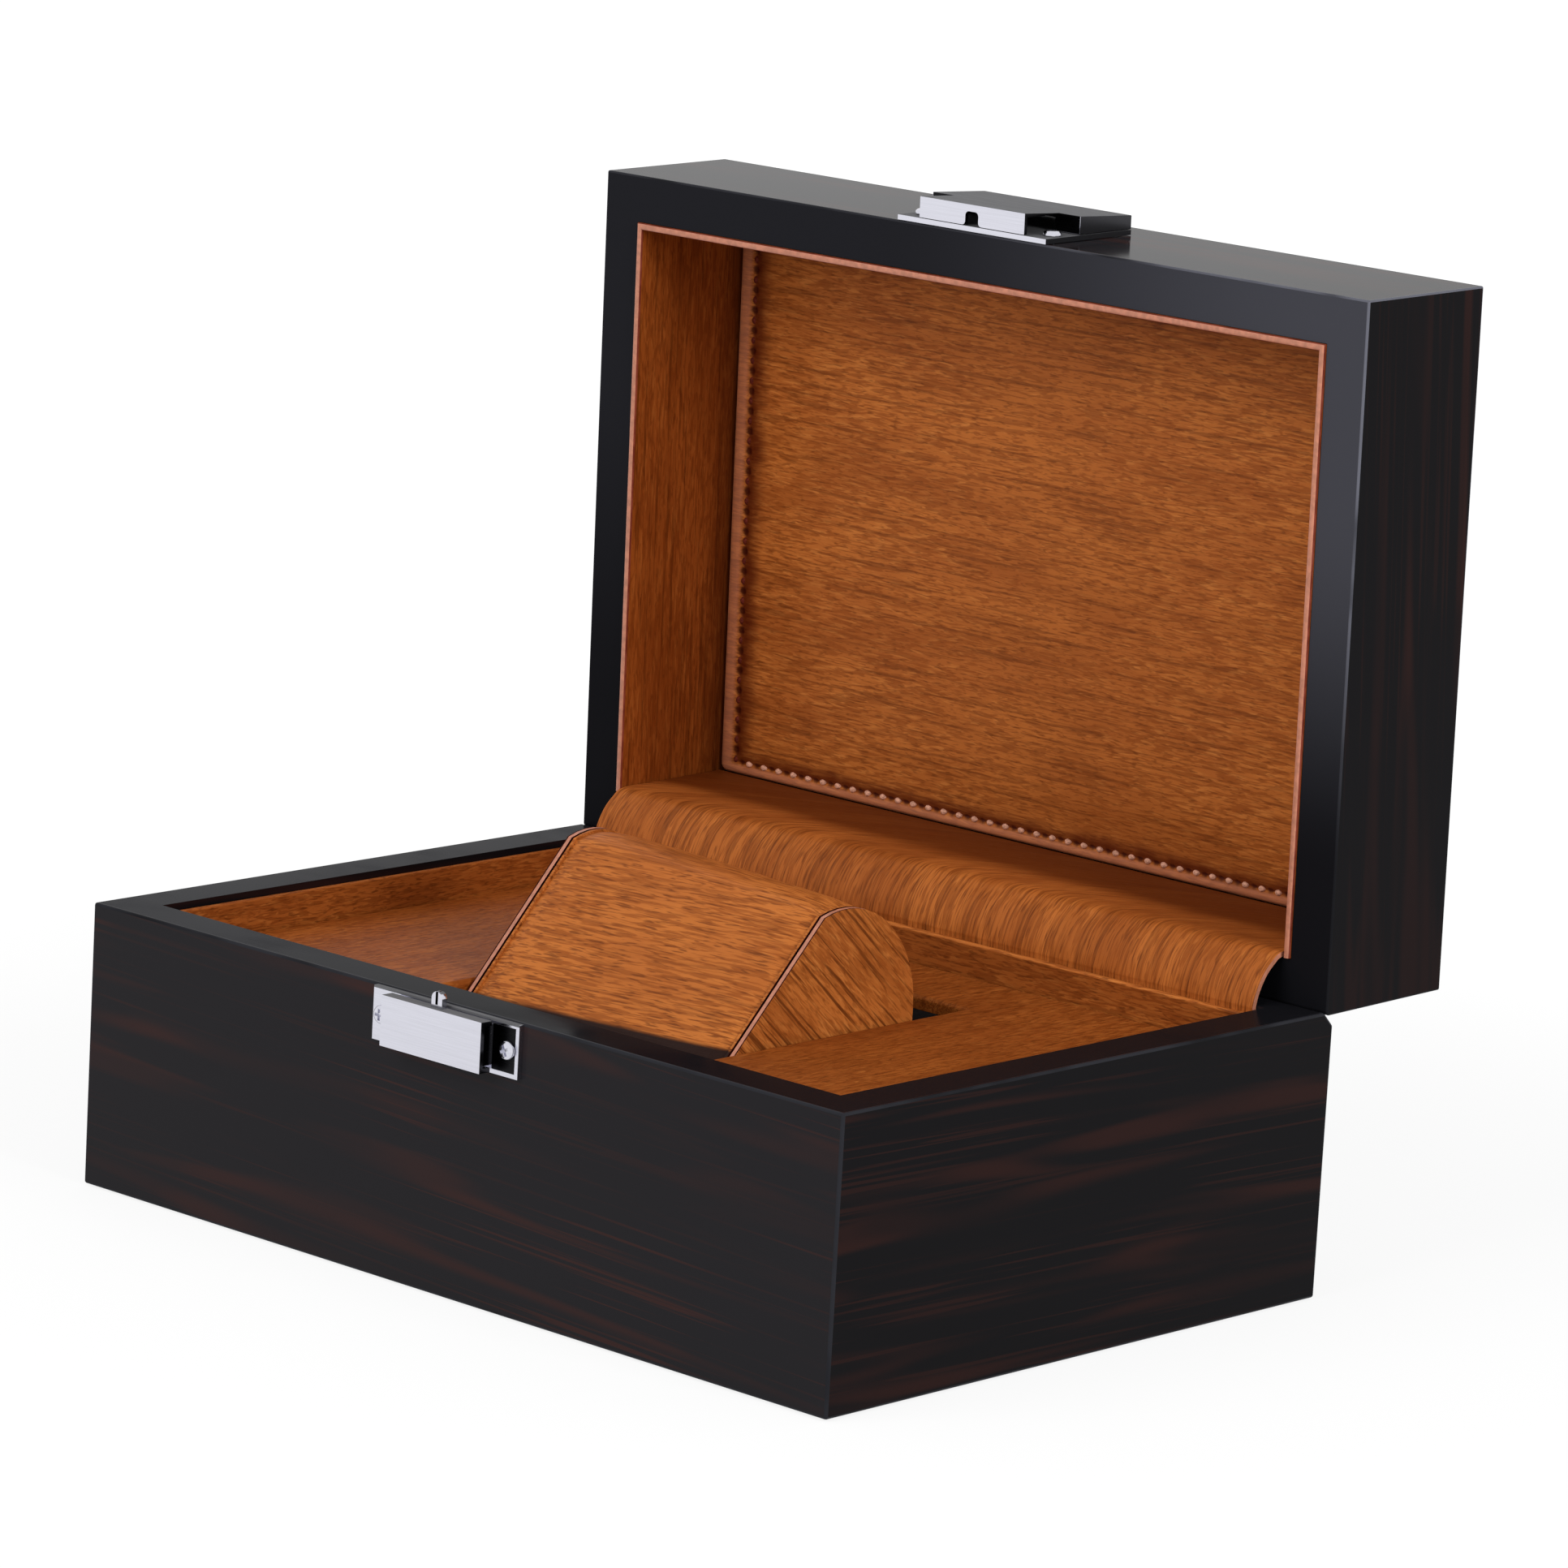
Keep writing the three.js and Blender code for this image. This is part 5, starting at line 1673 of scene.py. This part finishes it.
class JEWELRYCASE_OT_stage(bpy.types.Operator):
    """Camera, pale floor, soft lamps and a white surround"""

    bl_idname = "jewelrycase.stage"
    bl_label = "Stage"

    def execute(self, context):
        self.make_camera(context.scene)
        self.make_floor()
        self.make_world(context.scene)
        for lamp in LAMPS:
            self.make_lamp(*lamp)
        context.scene.view_settings.view_transform = "Standard"
        return {"FINISHED"}

    def make_camera(self, scene):
        data = bpy.data.cameras.new("photo_camera")
        data.lens = CAMERA_LENS
        data.sensor_width = CAMERA_SENSOR
        data.clip_start = 0.01
        camera = bpy.data.objects.new("photo_camera", data)
        scene.collection.objects.link(camera)
        back = towards(CAMERA_AZIMUTH + CAMERA_PAN, CAMERA_ELEVATION + CAMERA_TILT)
        level = Vector((math.cos(CAMERA_AZIMUTH + CAMERA_PAN), math.sin(CAMERA_AZIMUTH + CAMERA_PAN), 0))
        upright = level.cross(-back)
        right = level * math.cos(CAMERA_ROLL) + upright * math.sin(CAMERA_ROLL)
        up = upright * math.cos(CAMERA_ROLL) - level * math.sin(CAMERA_ROLL)
        place = towards(CAMERA_AZIMUTH, CAMERA_ELEVATION) * CAMERA_DISTANCE
        rows = [(right[k], up[k], back[k], place[k]) for k in range(3)]
        camera.matrix_world = Matrix((*rows, (0, 0, 0, 1)))
        scene.camera = camera

    def seen_or_mirrored(self, tree):
        """One where a ray comes from the camera, a mirror or glass."""
        path = add_node(tree, "ShaderNodeLightPath")
        straight = math_of(tree, "MAXIMUM", path.outputs["Is Camera Ray"], path.outputs["Is Glossy Ray"])
        return math_of(tree, "MAXIMUM", straight, path.outputs["Is Transmission Ray"])

    def make_floor(self):
        floor = add_primitive("plane", "floor", size=12)
        material = bpy.data.materials.new("floor_paper")
        material.use_nodes = True
        tree = material.node_tree
        tree.nodes.clear()
        paper = add_node(tree, "ShaderNodeBsdfDiffuse", {"Color": FLOOR_GREY})
        glow = add_node(tree, "ShaderNodeEmission", {"Color": WHITE, "Strength": FLOOR_GLOW})
        place = add_node(tree, "ShaderNodeTexCoord").outputs["Object"]
        away = add_node(tree, "ShaderNodeVectorMath", {0: place}, operation="LENGTH")
        beyond = between(tree, away.outputs["Value"], FADE_START, FADE_END, FLOOR_SHADE_SHARE)
        lit = math_of(tree, "ADD", beyond, 1 - FLOOR_SHADE_SHARE)
        share = product(tree, self.seen_or_mirrored(tree), lit)
        both = add_node(tree, "ShaderNodeMixShader", {0: share, 1: paper.outputs[0], 2: glow.outputs[0]})
        add_node(tree, "ShaderNodeOutputMaterial", {"Surface": both.outputs[0]})
        floor.data.materials.append(material)

    def make_world(self, scene):
        world = bpy.data.worlds.new("surround")
        world.use_nodes = True
        tree = world.node_tree
        tree.nodes.clear()
        soft = add_node(tree, "ShaderNodeBackground", {"Color": WHITE, "Strength": SURROUND_LIGHT})
        white = add_node(tree, "ShaderNodeBackground", {"Color": WHITE, "Strength": 1.0})
        share = self.seen_or_mirrored(tree)
        both = add_node(tree, "ShaderNodeMixShader", {0: share, 1: soft.outputs[0], 2: white.outputs[0]})
        add_node(tree, "ShaderNodeOutputWorld", {"Surface": both.outputs[0]})
        scene.world = world

    def make_lamp(self, name, azimuth, elevation, distance, size, power):
        data = bpy.data.lights.new(name, "AREA")
        data.shape = "SQUARE"
        data.size = size
        data.energy = power
        lamp = bpy.data.objects.new(name, data)
        lamp.visible_glossy = False
        bpy.context.scene.collection.objects.link(lamp)
        back = towards(math.radians(azimuth), math.radians(elevation))
        lamp.location = back * distance + LAMP_TARGET
        lamp.rotation_mode = "QUATERNION"
        lamp.rotation_quaternion = back.to_track_quat("Z", "Y")


STEPS = (
    ("stage", JEWELRYCASE_OT_stage),
    ("boards", JEWELRYCASE_OT_boards),
    ("underside", JEWELRYCASE_OT_underside),
    ("base_liners", JEWELRYCASE_OT_base_liners),
    ("deck", JEWELRYCASE_OT_deck),
    ("pillow", JEWELRYCASE_OT_pillow),
    ("lid_liners", JEWELRYCASE_OT_lid_liners),
    ("lid_pad", JEWELRYCASE_OT_lid_pad),
    ("hinge_cover", JEWELRYCASE_OT_hinge_cover),
    ("hinges", JEWELRYCASE_OT_hinges),
    ("clasp", JEWELRYCASE_OT_clasp),
)


class JEWELRYCASE_PT_sidebar(bpy.types.Panel):
    """Lists the case's sizes, colours and pieces"""

    bl_idname = "JEWELRYCASE_PT_sidebar"
    bl_label = "Jewelry Case"
    bl_space_type = "VIEW_3D"
    bl_region_type = "UI"
    bl_category = "Jewelry Case"

    def draw(self, context):
        for group in (context.scene.case_sizes, context.scene.case_colours):
            for name in group.bl_rna.properties.keys():
                if name not in ("rna_type", "name"):
                    self.layout.prop(group, name)
        for _, step in STEPS:
            self.layout.operator(step.bl_idname)


CLASSES = (CaseSizes, CaseColours, *[step for _, step in STEPS], JEWELRYCASE_PT_sidebar)


def register():
    for item in CLASSES:
        bpy.utils.register_class(item)
    bpy.types.Scene.case_sizes = bpy.props.PointerProperty(type=CaseSizes)
    bpy.types.Scene.case_colours = bpy.props.PointerProperty(type=CaseColours)


def unregister():
    del bpy.types.Scene.case_colours
    del bpy.types.Scene.case_sizes
    for item in reversed(CLASSES):
        bpy.utils.unregister_class(item)


def main():
    register()
    for name, _ in STEPS:
        getattr(bpy.ops.jewelrycase, name)()


if __name__ == "__main__":
    main()
